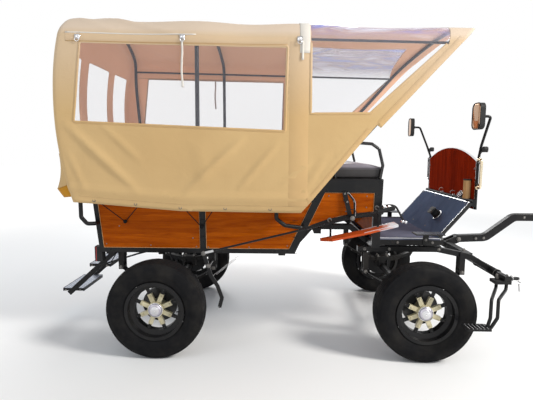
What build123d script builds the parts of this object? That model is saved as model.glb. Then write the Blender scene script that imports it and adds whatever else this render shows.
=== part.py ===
from build123d import *
import math
import os

# Covered wagonette for two horses: steel frame, plywood tub, canvas top on tube bows,
# a fore-carriage that swivels under the driver's feet, and a pole hinged to it.
# Millimetres. X points forward, Z up, and -Y is the side with the brake lever.
# Reaches are measured forward from the rear axle, heights from the ground.

# Running gear
WHEELBASE = 1830.0
TRACK = 1450.0
TYRE_R = 340.0
TYRE_W = 180.0
TYRE_WALL = 12.0
RIM_FLANGE_R = 204.0
RIM_SEAT_R = 190.0
RIM_WELL_R = 160.0
RIM_SHEET = 9.0
RIM_W = 144.0
SPOKE_COUNT = 8
SPOKE_W = 22.0
SPOKE_T = 14.0
SPOKE_OFFSET = 18.0
SOCKET_W = 30.0
SOCKET_T = 24.0
SOCKET_R = 115.0
HUB_R = 54.0
HUB_FACE = 46.0
CAP_R = 43.0
CAP_LENGTH = 16.0
DRUM_R = 122.0
DRUM_IN = 128.0
DRUM_DEPTH = 55.0
STUB_R = 22.0
STUB_FIT = 0.08
STUB_END_GAP = 12.0
AXLE_TUBE_R = 30.0
BACKPLATE_R = 118.0
BACKPLATE_T = 8.0
DRUM_GAP = 7.0

# Springs
SPRING_Y = 400.0
FRONT_SPRING_Y = 450.0
SPRING_W = 60.0
LEAF_T = 8.0
LEAF_COUNT = 4
SPRING_HALF = 350.0
SPRING_RISE = 125.0
SPRING_PAD = 18.0
EYE_R = 17.0
HANGER_T = 6.0

# Frame and swivel
RAIL_Y = 400.0
RAIL_W = 50.0
RAIL_H = 40.0
FLOOR_Z = 720.0
FLOOR_T = 15.0
ARCH_Z = 885.0
DECK_Z = 788.0
DECK_T = 12.0
SWIVEL_R = 260.0
SWIVEL_RING_W = 60.0
SWIVEL_T = 8.0
SWIVEL_GAP = 0.5
KINGPIN_R = 15.0
KINGPIN_FIT = 0.08
KINGPIN_LENGTH = 70.0
BOSS_R = 40.0

# Tub
TUB_BASE_Z = 700.0
TUB_HALF = 600.0
TUB_HEIGHT = 400.0
TUB_FLARE = 40.0
TUB_REAR = -437.0
TUB_REAR_LEAN = 24.0
TUB_FRONT = 952.0
FRONT_RAKE = 0.455
FRAME_T = 30.0
SILL_H = 35.0
TOP_RAIL_H = 28.0
REAR_POST_W = 33.0
MID_POST_W = 44.0
MID_POST_REACH = 305.0
FRONT_POST_W = 50.0
PANEL_T = 15.0
PANEL_SINK = 4.0
DOOR_HALF = 260.0
DOOR_GAP = 6.0
TAIL_POST_W = 30.0
HINGE_R = 9.0
HINGE_OUT = 14.0

# Driver's seat box
SEAT_RAIL_Z = 1141.0
SEAT_BASE_Z = 1234.0
PILLAR_REACH = 1490.0
PILLAR_W = 56.0
ARCH_LOW = 868.0
ARCH_MID = 942.0
ARCH_HIGH = 975.0
ARCH_BAND = 34.0
SEAT_HALF = 545.0
SEAT_REAR = 1195.0
SEAT_FRONT = 1557.0
CUSHION_T = 78.0
SEAT_FRAME_T = 25.0

# Driver's deck
DECK_REAR = 1512.0
DECK_FRONT = 2005.0
DECK_HALF = 500.0
TOE_TOP = 2222.0
TOE_TOP_Z = 1056.0
TOE_T = 15.0
DASH_REACH = 2243.0
DASH_T = 18.0
DASH_HALF = 464.0
DASH_BASE_Z = 1010.0
DASH_SHOULDER_Z = 1355.0
DASH_TOP_Z = 1452.0
TRIM_T = 3.0
TRIM_W = 14.0

# Canvas top
HEM_Z = 1014.0
HEM_LINE = ((184.0, 1021.0), (-530.0, 1077.0))
REAR_HEM_Z = 1130.0
HEM_HALF = 762.0
EAVE_HALF = 737.0
EAVE_Z = 2246.0
EAVE_FALL = 0.026
CROWN_RISE = 130.0
SHOULDER_R = 130.0
CANVAS_T = 4.0
CANVAS_REAR = -530.0
CANVAS_BULGE = -642.0
CANVAS_BULGE_Z = 1700.0
CANVAS_REAR_TOP = -590.0
CANVAS_TAIL_R = 95.0
CANVAS_FRONT = 985.0
VISOR_NOTCH = ((1467.0, 1593.0), (1494.0, 1574.0))
VISOR_TIP = (2030.0, 2150.0)
VISOR_SLOPE = 1.07
SEAM_Z = 2130.0
PANE_T = 2.0
BOW_R = 14.0
BOW_INSET = 20.0
BOW_FOOT_Z = 1096.0

# Benches
BENCH_Z = 1030.0
BENCH_INNER = 250.0
BENCH_REAR = -385.0
BENCH_FRONT = 880.0
BENCH_BOARD = 15.0
BENCH_PAD = 60.0
BACK_Z = 1150.0
BACK_TOP_Z = 1480.0
BACK_T = 50.0

# Steps
TREAD_HALF = 195.0
TREAD_DEPTH = 170.0
TREAD_T = 5.0
TREADS = ((-615.0, 500.0), (-845.0, 292.0))
STRINGER_T = 8.0
STRINGER_W = 40.0
SIDE_STEP_LENGTH = 160.0
SIDE_STEP_W = 100.0
SIDE_STEP_Z = 305.0
SIDE_STEP_REACH = 2115.0
SIDE_STEP_GAP = 24.0

# Pole
POLE_PIVOT = 2330.0
POLE_PIVOT_Z = 702.0
POLE_KNEE = 2560.0
POLE_NECK = 2785.0
POLE_Z = 885.0
POLE_TIP = 4850.0
POLE_SIZE = 60.0
POLE_PIN_R = 12.0
POLE_PIN_FIT = 0.08
EAR_T = 10.0
EAR_GAP = 1.0
POLE_EYE_R = 13.0
POLE_EYE_OUT = 30.0
POLE_EYE_T = 14.0

# The origin lies on the ground, midway between the lower tread and the pole's eye
REAR_END = TREADS[-1][0] - TREAD_DEPTH / 2
FRONT_END = POLE_TIP + POLE_EYE_OUT + POLE_EYE_R * 2
REAR_AXLE_X = -(REAR_END + FRONT_END) / 2
AXLE_Z = TYRE_R
LEAN = math.atan2(TUB_FLARE, TUB_HEIGHT)
TAIL_LEAN = math.atan2(TUB_REAR_LEAN, TUB_HEIGHT)
SLANT = 1 / math.cos(LEAN)
SIDES = (-1, 1)
POST_X = FRONT_POST_W * math.hypot(1, FRONT_RAKE)


def fwd(reach):
    """X of a place that lies this far ahead of the rear axle."""
    return REAR_AXLE_X + reach


def side_plane(side=-1):
    """The flared side of the tub: local x forward, local y up the flare."""
    origin = (REAR_AXLE_X, side * TUB_HALF, TUB_BASE_Z)
    x_dir = (1, 0, 0)
    z_dir = (0, -math.cos(LEAN), -math.sin(LEAN))
    return Plane(origin=origin, x_dir=x_dir, z_dir=z_dir)


def tail_plane():
    """The rear end of the tub: local x to the left, local y up the lean."""
    origin = (fwd(TUB_REAR), 0, TUB_BASE_Z)
    z_dir = (math.cos(TAIL_LEAN), 0, math.sin(TAIL_LEAN))
    return Plane(origin=origin, x_dir=(0, 1, 0), z_dir=z_dir)


def half_width(height):
    """Half the tub's outer width at a height above the ground."""
    return TUB_HALF + (height - TUB_BASE_Z) * math.tan(LEAN)


def inner_half(height):
    """Half the clear width between the two side frames at a height."""
    return half_width(height) - FRAME_T * SLANT


def bar(start, end, width, depth):
    """A straight flat or square bar, its width across the carriage where it can be."""
    run = Vector(*end) - Vector(*start)
    side = Vector(1, 0, 0) if abs(run.Y) > 0.9 * run.length else Vector(0, 1, 0)
    across = run.cross(side).cross(run)
    with BuildSketch(Plane(origin=start, x_dir=across, z_dir=run)) as section:
        Rectangle(width, depth)
    extrude(section.sketch, amount=run.length)


def round_bar(points, radius, bend):
    """A round bar or tube along straight runs with rounded bends."""
    with BuildLine() as path:
        FilletPolyline(*points, radius=bend)
    with BuildSketch(Plane(origin=path.line @ 0, z_dir=path.line % 0)) as section:
        Circle(radius)
    sweep(section.sketch, path=path.line)


def box_bar(points, width, height, corner, bend):
    """A box section with rounded corners along a bent path that keeps one distance from the middle."""
    with BuildLine() as path:
        FilletPolyline(*points, radius=bend)
    start = Plane(origin=path.line @ 0, x_dir=(0, 1, 0), z_dir=path.line % 0)
    with BuildSketch(start) as section:
        RectangleRounded(width, height, corner)
    sweep(section.sketch, path=path.line)


def cross_rod(reach, height, radius, start_y, end_y, mode=Mode.ADD):
    """A round bar, or a bore, that runs straight across the carriage."""
    origin = (fwd(reach), start_y, height)
    with BuildSketch(Plane(origin=origin, x_dir=(1, 0, 0), z_dir=(0, 1, 0))) as section:
        Circle(radius)
    extrude(section.sketch, amount=end_y - start_y, mode=mode)


def box(low, high, mode=Mode.ADD):
    """An upright block between two corners."""
    middle = [(a + b) / 2 for a, b in zip(low, high)]
    size = [b - a for a, b in zip(low, high)]
    with Locations(tuple(middle)):
        Box(*size, mode=mode)


def finish(builder, name):
    """Label a finished piece and write it to its own file."""
    builder.part.label = name
    export_step(builder.part, "parts/" + name + ".step")


os.makedirs("parts", exist_ok=True)

# Wheels
WHEELS = (
    # name, reach of its axle, side
    ("rear_right", 0.0, -1),
    ("rear_left", 0.0, 1),
    ("front_right", WHEELBASE, -1),
    ("front_left", WHEELBASE, 1),
)


def wheel_plane(reach, side):
    """Profile plane of a wheel: local x outward, local y away from the axle."""
    origin = (fwd(reach), side * TRACK / 2, AXLE_Z)
    return Plane(origin=origin, x_dir=(0, side, 0), z_dir=(side, 0, 0))


def wheel_face(reach, side, offset):
    """Plane across the axle, offset outward from the wheel's middle."""
    origin = (fwd(reach), side * (TRACK / 2 + offset), AXLE_Z)
    return Plane(origin=origin, x_dir=(1, 0, 0), z_dir=(0, side, 0))


BEAD = RIM_W / 2
BEAD_TOP = RIM_FLANGE_R + 2
SIDEWALL_R = (RIM_FLANGE_R + TYRE_R) / 2
TREAD_HALF_W = TYRE_W / 2 - 20
TREAD_EDGE_R = TYRE_R - 9

for name, reach, side in WHEELS:
    axle_line = Axis((fwd(reach), 0, AXLE_Z), (0, 1, 0))

    with BuildPart() as tyre:
        with BuildSketch(wheel_plane(reach, side)):
            with BuildLine():
                ThreePointArc(
                    (-BEAD, BEAD_TOP), (-TYRE_W / 2, SIDEWALL_R), (-TREAD_HALF_W, TREAD_EDGE_R)
                )
                ThreePointArc(
                    (-TREAD_HALF_W, TREAD_EDGE_R), (0, TYRE_R), (TREAD_HALF_W, TREAD_EDGE_R)
                )
                ThreePointArc(
                    (TREAD_HALF_W, TREAD_EDGE_R), (TYRE_W / 2, SIDEWALL_R), (BEAD, BEAD_TOP)
                )
                Polyline(
                    (BEAD, BEAD_TOP),
                    (BEAD, RIM_SEAT_R),
                    (BEAD - TYRE_WALL, RIM_SEAT_R),
                    (TYRE_W / 2 - TYRE_WALL, SIDEWALL_R),
                    (TREAD_HALF_W - TYRE_WALL, TREAD_EDGE_R - TYRE_WALL),
                    (TYRE_WALL - TREAD_HALF_W, TREAD_EDGE_R - TYRE_WALL),
                    (TYRE_WALL - TYRE_W / 2, SIDEWALL_R),
                    (TYRE_WALL - BEAD, RIM_SEAT_R),
                    (-BEAD, RIM_SEAT_R),
                    (-BEAD, BEAD_TOP),
                )
            make_face()
        revolve(axis=axle_line)
    finish(tyre, "tyre_" + name)

    with BuildPart() as rim:
        with BuildSketch(wheel_plane(reach, side)):
            with BuildLine():
                Polyline(
                    (BEAD, RIM_FLANGE_R),
                    (BEAD, RIM_SEAT_R),
                    (BEAD / 2, RIM_SEAT_R),
                    (BEAD / 3, RIM_WELL_R),
                    (-BEAD / 3, RIM_WELL_R),
                    (-BEAD / 2, RIM_SEAT_R),
                    (-BEAD, RIM_SEAT_R),
                    (-BEAD, RIM_FLANGE_R),
                    (-BEAD - RIM_SHEET, RIM_FLANGE_R),
                    (-BEAD - RIM_SHEET, RIM_SEAT_R - RIM_SHEET),
                    (-BEAD / 2, RIM_SEAT_R - RIM_SHEET),
                    (-BEAD / 3, RIM_WELL_R - RIM_SHEET),
                    (BEAD / 3, RIM_WELL_R - RIM_SHEET),
                    (BEAD / 2, RIM_SEAT_R - RIM_SHEET),
                    (BEAD + RIM_SHEET, RIM_SEAT_R - RIM_SHEET),
                    (BEAD + RIM_SHEET, RIM_FLANGE_R),
                    close=True,
                )
            make_face()
        revolve(axis=axle_line)
        with BuildSketch(wheel_face(reach, side, SPOKE_OFFSET)):
            spoke_length = RIM_WELL_R - RIM_SHEET / 2 - SOCKET_R
            with PolarLocations(SOCKET_R + spoke_length / 2, SPOKE_COUNT, 180 / SPOKE_COUNT):
                Rectangle(spoke_length, SPOKE_W)
        extrude(amount=SPOKE_T / 2, both=True)
    finish(rim, "rim_" + name)

    with BuildPart() as hub:
        with BuildSketch(wheel_plane(reach, side)):
            with BuildLine():
                Polyline(
                    (-DRUM_IN, 0),
                    (-DRUM_IN, DRUM_R - 14),
                    (-DRUM_IN + 8, DRUM_R),
                    (DRUM_DEPTH - DRUM_IN, DRUM_R),
                    (DRUM_DEPTH - DRUM_IN, HUB_R),
                    (HUB_FACE, HUB_R),
                    (HUB_FACE, CAP_R),
                    (HUB_FACE + CAP_LENGTH - 5, CAP_R),
                    (HUB_FACE + CAP_LENGTH, CAP_R - 6),
                    (HUB_FACE + CAP_LENGTH, 0),
                    close=True,
                )
            make_face()
        revolve(axis=axle_line)
        with BuildSketch(wheel_face(reach, side, SPOKE_OFFSET)):
            with PolarLocations(SOCKET_R / 2, SPOKE_COUNT, 180 / SPOKE_COUNT):
                Rectangle(SOCKET_R, SOCKET_W)
        extrude(amount=SOCKET_T / 2, both=True)
        with BuildSketch(wheel_face(reach, side, -DRUM_IN)):
            Circle(STUB_R + STUB_FIT)
        extrude(amount=DRUM_IN + HUB_FACE - STUB_END_GAP, mode=Mode.SUBTRACT)
    finish(hub, "hub_" + name)

# Axles: a tube, two stub ends that the hubs run on, and the brake backplates
STUB_START = TRACK / 2 - DRUM_IN - DRUM_GAP
STUB_LENGTH = DRUM_GAP + DRUM_IN + HUB_FACE - 2 * STUB_END_GAP

for name, reach in (("rear_axle", 0.0), ("front_axle", WHEELBASE)):
    with BuildPart() as axle:
        with BuildSketch(Plane(origin=(fwd(reach), 0, AXLE_Z), x_dir=(1, 0, 0), z_dir=(0, 1, 0))):
            Circle(AXLE_TUBE_R)
        extrude(amount=STUB_START, both=True)
        for side in SIDES:
            with BuildSketch(wheel_face(reach, side, STUB_START - TRACK / 2)) as plate:
                Circle(BACKPLATE_R)
            extrude(amount=-BACKPLATE_T)
            with BuildSketch(wheel_face(reach, side, STUB_START - TRACK / 2)) as stub:
                Circle(STUB_R)
            extrude(amount=STUB_LENGTH)
    finish(axle, name)

# Leaf springs: each leaf is a band of one arc, shorter leaves below the longer
SPRING_R = (SPRING_HALF**2 + SPRING_RISE**2) / (2 * SPRING_RISE)
SPRING_SEAT_Z = AXLE_Z + AXLE_TUBE_R + SPRING_PAD
STACK_T = LEAF_T * LEAF_COUNT
EYE_Z = SPRING_SEAT_Z + STACK_T + SPRING_RISE


def leaf_spring(reach, offset, hanger_top):
    """Leaf stack, eyes, axle clamp and hangers of one spring, offset from the middle."""
    centre_z = SPRING_SEAT_Z + STACK_T + SPRING_R
    half_angle = math.asin(SPRING_HALF / SPRING_R)
    plane = Plane(
        origin=(fwd(reach), offset - SPRING_W / 2, centre_z), x_dir=(-1, 0, 0), z_dir=(0, 1, 0)
    )
    for leaf in range(LEAF_COUNT):
        angle = math.degrees(half_angle) * (1 - 0.2 * leaf)
        outer = SPRING_R + LEAF_T * (leaf + 1)
        inner = SPRING_R + LEAF_T * leaf
        with BuildSketch(plane) as band:
            with BuildLine():
                low = CenterArc((0, 0), outer, -90 - angle, 2 * angle)
                high = CenterArc((0, 0), inner, -90 - angle, 2 * angle)
                Line(low @ 0, high @ 0)
                Line(low @ 1, high @ 1)
            make_face()
        extrude(band.sketch, amount=SPRING_W)
    for end in (-1, 1):
        x = fwd(reach) + end * SPRING_HALF
        cross_rod(reach + end * SPRING_HALF, EYE_Z, EYE_R, offset - SPRING_W / 2, offset + SPRING_W / 2)
        for cheek in (-1, 1):
            y = offset + cheek * (SPRING_W + HANGER_T) / 2
            bar((x, y, EYE_Z - EYE_R), (x, y, hanger_top), HANGER_T, 2.2 * EYE_R)
    box(
        (fwd(reach) - 60, offset - SPRING_W / 2 - 8, AXLE_Z),
        (fwd(reach) + 60, offset + SPRING_W / 2 + 8, SPRING_SEAT_Z + STACK_T + 10),
    )
    cross_rod(reach, AXLE_Z, AXLE_TUBE_R, offset - SPRING_W, offset + SPRING_W, Mode.SUBTRACT)


REAR_RAIL_Z = FLOOR_Z - RAIL_H / 2
with BuildPart() as rear_springs:
    leaf_spring(0.0, -SPRING_Y, FLOOR_Z - RAIL_H)
    mirror(about=Plane.XZ)
finish(rear_springs, "rear_springs")

# Fore-carriage: two swept arms under the swivel ring, carrying the front springs,
# the splinter bar with its trace hooks, and the ears that hold the pole
ARM_TOP = DECK_Z - RAIL_H - SWIVEL_T * 2 - SWIVEL_GAP
ARM_H = 40.0
ARM_W = 40.0
ARM_Z = ARM_TOP - ARM_H / 2
SPLINTER_REACH = 2400.0
SPLINTER_Z = 560.0
SPLINTER_HALF = 700.0
SPLINTER_R = 24.0

with BuildPart() as front_springs:
    leaf_spring(WHEELBASE, -FRONT_SPRING_Y, ARM_TOP - ARM_H)
    mirror(about=Plane.XZ)
finish(front_springs, "front_springs")

BEAM_REACH = WHEELBASE + SPRING_HALF + 60
BEAM_Z = ARM_Z - 50
BEAM_W = 50.0
EAR_R = 28.0
EAR_Y = POLE_SIZE / 2 + EAR_GAP + EAR_T / 2
HOOK_OUT = 75.0
HOOK_W = 36.0
HOOK_T = 14.0
HOOK_EYE_R = 8.0
STEP_PAD_T = 10.0
STEP_PAD_W = 84.0

with BuildPart() as fore_carriage:
    box_bar(
        (
            (fwd(WHEELBASE - SPRING_HALF - 60), -FRONT_SPRING_Y, ARM_Z),
            (fwd(WHEELBASE + 170), -FRONT_SPRING_Y, ARM_Z),
            (fwd(BEAM_REACH), -FRONT_SPRING_Y, BEAM_Z),
            (fwd(SPLINTER_REACH), -FRONT_SPRING_Y, SPLINTER_Z),
        ),
        ARM_W,
        ARM_H,
        4,
        150,
    )
    for reach in (WHEELBASE - 180, WHEELBASE + 180):
        bar((fwd(reach), -FRONT_SPRING_Y, ARM_Z), (fwd(reach), 0, ARM_Z), BEAM_W, ARM_H)
    bar((fwd(BEAM_REACH), -FRONT_SPRING_Y, BEAM_Z), (fwd(BEAM_REACH), 0, BEAM_Z), BEAM_W, ARM_H)
    cross_rod(SPLINTER_REACH, SPLINTER_Z, SPLINTER_R, -SPLINTER_HALF, 0)
    box(
        (fwd(SPLINTER_REACH - STEP_PAD_W), -SPLINTER_HALF, SPLINTER_Z - SPLINTER_R - STEP_PAD_T),
        (fwd(SPLINTER_REACH) + SPLINTER_R, STEP_PAD_W - SPLINTER_HALF, SPLINTER_Z - SPLINTER_R / 2),
    )
    bar((fwd(BEAM_REACH), -EAR_Y, BEAM_Z), (fwd(POLE_PIVOT), -EAR_Y, POLE_PIVOT_Z), EAR_T, 2 * EAR_R)
    bar((fwd(SPLINTER_REACH), -EAR_Y, SPLINTER_Z), (fwd(BEAM_REACH), -EAR_Y, BEAM_Z), EAR_T, BEAM_W)
    cross_rod(POLE_PIVOT, POLE_PIVOT_Z, EAR_R, -EAR_Y - EAR_T / 2, -EAR_Y + EAR_T / 2)
    cross_rod(POLE_PIVOT, POLE_PIVOT_Z, POLE_PIN_R, -EAR_Y - EAR_T, 0)
    hook = (fwd(SPLINTER_REACH + HOOK_OUT), HOOK_W - SPLINTER_HALF, SPLINTER_Z)
    box(
        (fwd(SPLINTER_REACH), hook[1] - HOOK_W / 2, SPLINTER_Z - HOOK_T / 2),
        (hook[0], hook[1] + HOOK_W / 2, SPLINTER_Z + HOOK_T / 2),
    )
    with Locations(hook):
        Cylinder(HOOK_W / 2, HOOK_T)
        Cylinder(HOOK_EYE_R, 2 * HOOK_T, mode=Mode.SUBTRACT)
    mirror(about=Plane.XZ)
finish(fore_carriage, "fore_carriage")

# Swivel: the lower ring turns with the axle, the upper one is part of the frame
with BuildPart() as swivel_ring:
    with BuildSketch(Plane.XY.offset(ARM_TOP)):
        with Locations((fwd(WHEELBASE), 0)):
            Circle(SWIVEL_R)
            Circle(SWIVEL_R - SWIVEL_RING_W, mode=Mode.SUBTRACT)
            Rectangle(2 * SWIVEL_R - SWIVEL_RING_W, 60)
            Rectangle(60, 2 * SWIVEL_R - SWIVEL_RING_W)
    extrude(amount=SWIVEL_T)
    with BuildSketch(Plane.XY.offset(ARM_TOP - ARM_H)):
        with Locations((fwd(WHEELBASE), 0)):
            Circle(BOSS_R)
    extrude(amount=ARM_H)
    with BuildSketch(Plane.XY.offset(ARM_TOP - ARM_H)):
        with Locations((fwd(WHEELBASE), 0)):
            Circle(KINGPIN_R + KINGPIN_FIT)
    extrude(amount=ARM_H + SWIVEL_T, mode=Mode.SUBTRACT)
finish(swivel_ring, "swivel_ring")

# Driver's steps: a bent bar bolted to the splinter bar carries a grated plate in front
# of each wheel
STEP_Y = TRACK / 2 + TYRE_W / 2 + SIDE_STEP_GAP + SIDE_STEP_W / 2
STEP_BAR_R = 11.0
STEP_BAR_TOP = SPLINTER_Z - SPLINTER_R - STEP_PAD_T

with BuildPart() as driver_steps:
    for gap in (0.0, 45.0):
        drop_x = fwd(SIDE_STEP_REACH + SIDE_STEP_LENGTH / 2 + 50 - gap)
        round_bar(
            (
                (fwd(SPLINTER_REACH - gap), -SPLINTER_HALF + 20 + gap, STEP_BAR_TOP),
                (fwd(SPLINTER_REACH - gap), -SPLINTER_HALF + 20 + gap, STEP_BAR_TOP - 40),
                (drop_x + 20, -STEP_Y + 40, SPLINTER_Z - 90),
                (drop_x, -STEP_Y, SIDE_STEP_Z + 60),
                (drop_x - 40 + gap / 2, -STEP_Y, SIDE_STEP_Z - STEP_BAR_R),
                (fwd(SIDE_STEP_REACH), -STEP_Y, SIDE_STEP_Z - STEP_BAR_R),
            ),
            STEP_BAR_R,
            26,
        )
    with BuildSketch(Plane.XY.offset(SIDE_STEP_Z - STEP_BAR_R)):
        with Locations((fwd(SIDE_STEP_REACH), -STEP_Y)):
            RectangleRounded(SIDE_STEP_LENGTH, SIDE_STEP_W, 14)
            with GridLocations(24, 0, 5, 1):
                RectangleRounded(12, SIDE_STEP_W - 24, 5, mode=Mode.SUBTRACT)
    extrude(amount=STEP_BAR_R)
    mirror(about=Plane.XZ)
finish(driver_steps, "driver_steps")

# Pole: a swan-neck box tube with an eye at its tip
with BuildPart() as pole:
    box_bar(
        (
            (fwd(POLE_PIVOT), 0, POLE_PIVOT_Z),
            (fwd(POLE_KNEE), 0, POLE_PIVOT_Z + 10),
            (fwd(POLE_NECK), 0, POLE_Z),
            (fwd(POLE_TIP), 0, POLE_Z),
        ),
        POLE_SIZE,
        POLE_SIZE,
        8,
        90,
    )
    cross_rod(POLE_PIVOT, POLE_PIVOT_Z, EAR_R - 3, 1 - POLE_SIZE / 2, POLE_SIZE / 2 - 1)
    with BuildSketch(Plane.XY.offset(POLE_Z - POLE_EYE_T / 2)):
        with Locations((fwd(POLE_TIP + POLE_EYE_OUT), 0)):
            Circle(2 * POLE_EYE_R)
        with Locations((fwd(POLE_TIP + POLE_EYE_OUT / 2), 0)):
            Rectangle(POLE_EYE_OUT, 4 * POLE_EYE_R)
    extrude(amount=POLE_EYE_T)
    with BuildSketch(Plane.XY.offset(POLE_Z - POLE_EYE_T)):
        with Locations((fwd(POLE_TIP + POLE_EYE_OUT), 0)):
            Circle(POLE_EYE_R)
    extrude(amount=2 * POLE_EYE_T, mode=Mode.SUBTRACT)
    pin_bore = POLE_PIN_R + POLE_PIN_FIT
    cross_rod(POLE_PIVOT, POLE_PIVOT_Z, pin_bore, -POLE_SIZE, POLE_SIZE, Mode.SUBTRACT)
finish(pole, "pole")

# Frame: two rails that step up over the swivelling wheels, with cross members
FRONT_RAIL_Z = DECK_Z - RAIL_H / 2
RAIL_STEPS = (
    # reach, height of the rail's middle
    (TUB_REAR + FRAME_T + 3, REAR_RAIL_Z),
    (TUB_FRONT - 15, REAR_RAIL_Z),
    (TUB_FRONT + 128, ARCH_Z - RAIL_H / 2),
    (PILLAR_REACH - 120, ARCH_Z - RAIL_H / 2),
    (PILLAR_REACH, FRONT_RAIL_Z),
    (DECK_FRONT + 40, FRONT_RAIL_Z),
)
CROSS_MEMBERS = (
    # reach, height of its middle, half length
    (TUB_REAR + FRAME_T + 3 + RAIL_W / 2, REAR_RAIL_Z, inner_half(TUB_BASE_Z)),
    (0.0, REAR_RAIL_Z, inner_half(TUB_BASE_Z)),
    (MID_POST_REACH, REAR_RAIL_Z, inner_half(TUB_BASE_Z)),
    (TUB_FRONT - 90, REAR_RAIL_Z, inner_half(TUB_BASE_Z)),
    (TUB_FRONT + 160, ARCH_Z - RAIL_H / 2, inner_half(ARCH_Z - RAIL_H)),
    (PILLAR_REACH + PILLAR_W / 2, FRONT_RAIL_Z, inner_half(DECK_Z - RAIL_H)),
    (WHEELBASE - 180, FRONT_RAIL_Z, DECK_HALF - 12),
    (WHEELBASE + 180, FRONT_RAIL_Z, DECK_HALF - 12),
)

with BuildPart() as chassis_frame:
    box_bar([(fwd(reach), -RAIL_Y, z) for reach, z in RAIL_STEPS], RAIL_W, RAIL_H, 4, 40)
    for reach, z, half in CROSS_MEMBERS:
        bar((fwd(reach), -half, z), (fwd(reach), 0, z), RAIL_W, RAIL_H)
    bar((fwd(DECK_REAR + 20), 12 - DECK_HALF, FRONT_RAIL_Z), (fwd(DECK_FRONT), 12 - DECK_HALF, FRONT_RAIL_Z), 24, RAIL_H)
    mirror(about=Plane.XZ)
    with BuildSketch(Plane.XY.offset(DECK_Z - RAIL_H - SWIVEL_T)):
        with Locations((fwd(WHEELBASE), 0)):
            Circle(SWIVEL_R)
            Circle(SWIVEL_R - SWIVEL_RING_W, mode=Mode.SUBTRACT)
            Rectangle(2 * SWIVEL_R - SWIVEL_RING_W, 60)
    extrude(amount=SWIVEL_T)
    with BuildSketch(Plane.XY.offset(DECK_Z - RAIL_H - KINGPIN_LENGTH)):
        with Locations((fwd(WHEELBASE), 0)):
            Circle(KINGPIN_R)
    extrude(amount=KINGPIN_LENGTH)
finish(chassis_frame, "chassis_frame")

with BuildPart() as tub_floor:
    box(
        (fwd(TUB_REAR + FRAME_T + 3), -inner_half(TUB_BASE_Z), FLOOR_Z),
        (fwd(TUB_FRONT - POST_X + BENCH_BOARD), inner_half(TUB_BASE_Z), FLOOR_Z + FLOOR_T),
    )
finish(tub_floor, "tub_floor")

# Tub: each side is a frame cut from one flared outline, with its panels let in
RISE = TUB_HEIGHT * SLANT


def post_reach(rise):
    """Front edge of the raked front post, at a rise up the side."""
    return TUB_FRONT + FRONT_RAKE * rise / SLANT


def tail_reach(rise):
    """Rear edge of the side, at a rise up the side."""
    return TUB_REAR - TUB_REAR_LEAN * rise / RISE


def up(height):
    """Rise up the flared side for a height above the ground."""
    return (height - TUB_BASE_Z) * SLANT


SILL_TOP = SILL_H
RAIL_LOW = RISE - TOP_RAIL_H
POST_TOP = up(SEAT_BASE_Z + 56)
TAIL_PANEL_HALF = TUB_HALF - FRAME_T - 3


def panel_outline(rear_edge, front_edge):
    """Corners of a tub panel between two posts, given as reach against rise."""
    return (
        (rear_edge(SILL_TOP), SILL_TOP),
        (front_edge(SILL_TOP), SILL_TOP),
        (front_edge(RAIL_LOW), RAIL_LOW),
        (rear_edge(RAIL_LOW), RAIL_LOW),
    )


REAR_PANEL = panel_outline(
    lambda rise: tail_reach(rise) + REAR_POST_W, lambda rise: MID_POST_REACH - MID_POST_W / 2
)
FRONT_PANEL = panel_outline(
    lambda rise: MID_POST_REACH + MID_POST_W / 2, lambda rise: post_reach(rise) - POST_X
)
SEAT_PANEL = (
    (post_reach(up(ARCH_LOW + ARCH_BAND)), up(ARCH_LOW + ARCH_BAND)),
    ((post_reach(0) + PILLAR_REACH) / 2 + 40, up(ARCH_MID + ARCH_BAND)),
    (PILLAR_REACH, up(ARCH_HIGH + ARCH_BAND)),
    (PILLAR_REACH, up(SEAT_RAIL_Z)),
    (post_reach(up(SEAT_RAIL_Z)), up(SEAT_RAIL_Z)),
)

HINGES = (90.0, 280.0)
KNUCKLE = 36.0
HINGE_PIN_R = 4.0
HINGE_PIN_FIT = 0.08
HINGE_STRAP = 45.0


def hinge_ring(radius, rise, length, mode=Mode.ADD):
    """A round piece on the hinge axis that starts at a rise up the tail."""
    base = tail_plane().offset(-HINGE_OUT)
    origin = base.origin + base.x_dir * DOOR_HALF + base.y_dir * rise
    with BuildSketch(Plane(origin=origin, x_dir=base.x_dir, z_dir=base.y_dir)) as ring:
        Circle(radius)
    extrude(ring.sketch, amount=length, mode=mode)


def hinge_plate(left, right, rise, start, thickness):
    """A flat of the hinge, between two places across the tail."""
    with BuildSketch(tail_plane().offset(start)) as plate:
        with Locations(((left + right) / 2, rise + KNUCKLE / 2)):
            Rectangle(right - left, KNUCKLE)
    extrude(plate.sketch, amount=thickness)


# Tubes welded to the tub: a loop outside each side that carries the bench back
LOOP_R = 14.0
LOOP_Y = 690.0
LOOP_TOP = 1500.0
LOOP_ENDS = (-520.0, 822.0)
BACKREST_LOOP = (
    # reach, distance from the middle, height
    (1003, half_width(898) - LOOP_R, 898),
    (1003, LOOP_Y - 30, 898),
    (880, LOOP_Y, 920),
    (LOOP_ENDS[1], LOOP_Y, 965),
    (LOOP_ENDS[1], LOOP_Y, LOOP_TOP),
    (LOOP_ENDS[0], LOOP_Y, LOOP_TOP),
    (LOOP_ENDS[0], LOOP_Y, 965),
    (-480, LOOP_Y, 920),
    (-435, LOOP_Y - 30, 917),
    (-435, half_width(917) - LOOP_R, 917),
)
BRACKET_T = 12.0
BRACKET_W = 30.0
REAR_BOW = -500.0
MID_BOWS = (300.0, 960.0)
BOW_TAPER = (HEM_HALF - EAVE_HALF) / (EAVE_Z - HEM_Z)
BOW_HALF = EAVE_HALF - BOW_INSET
BOW_FOOT_Y = BOW_HALF + BOW_TAPER * (EAVE_Z - BOW_FOOT_Z)
BOW_RAKE = 1.13
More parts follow.
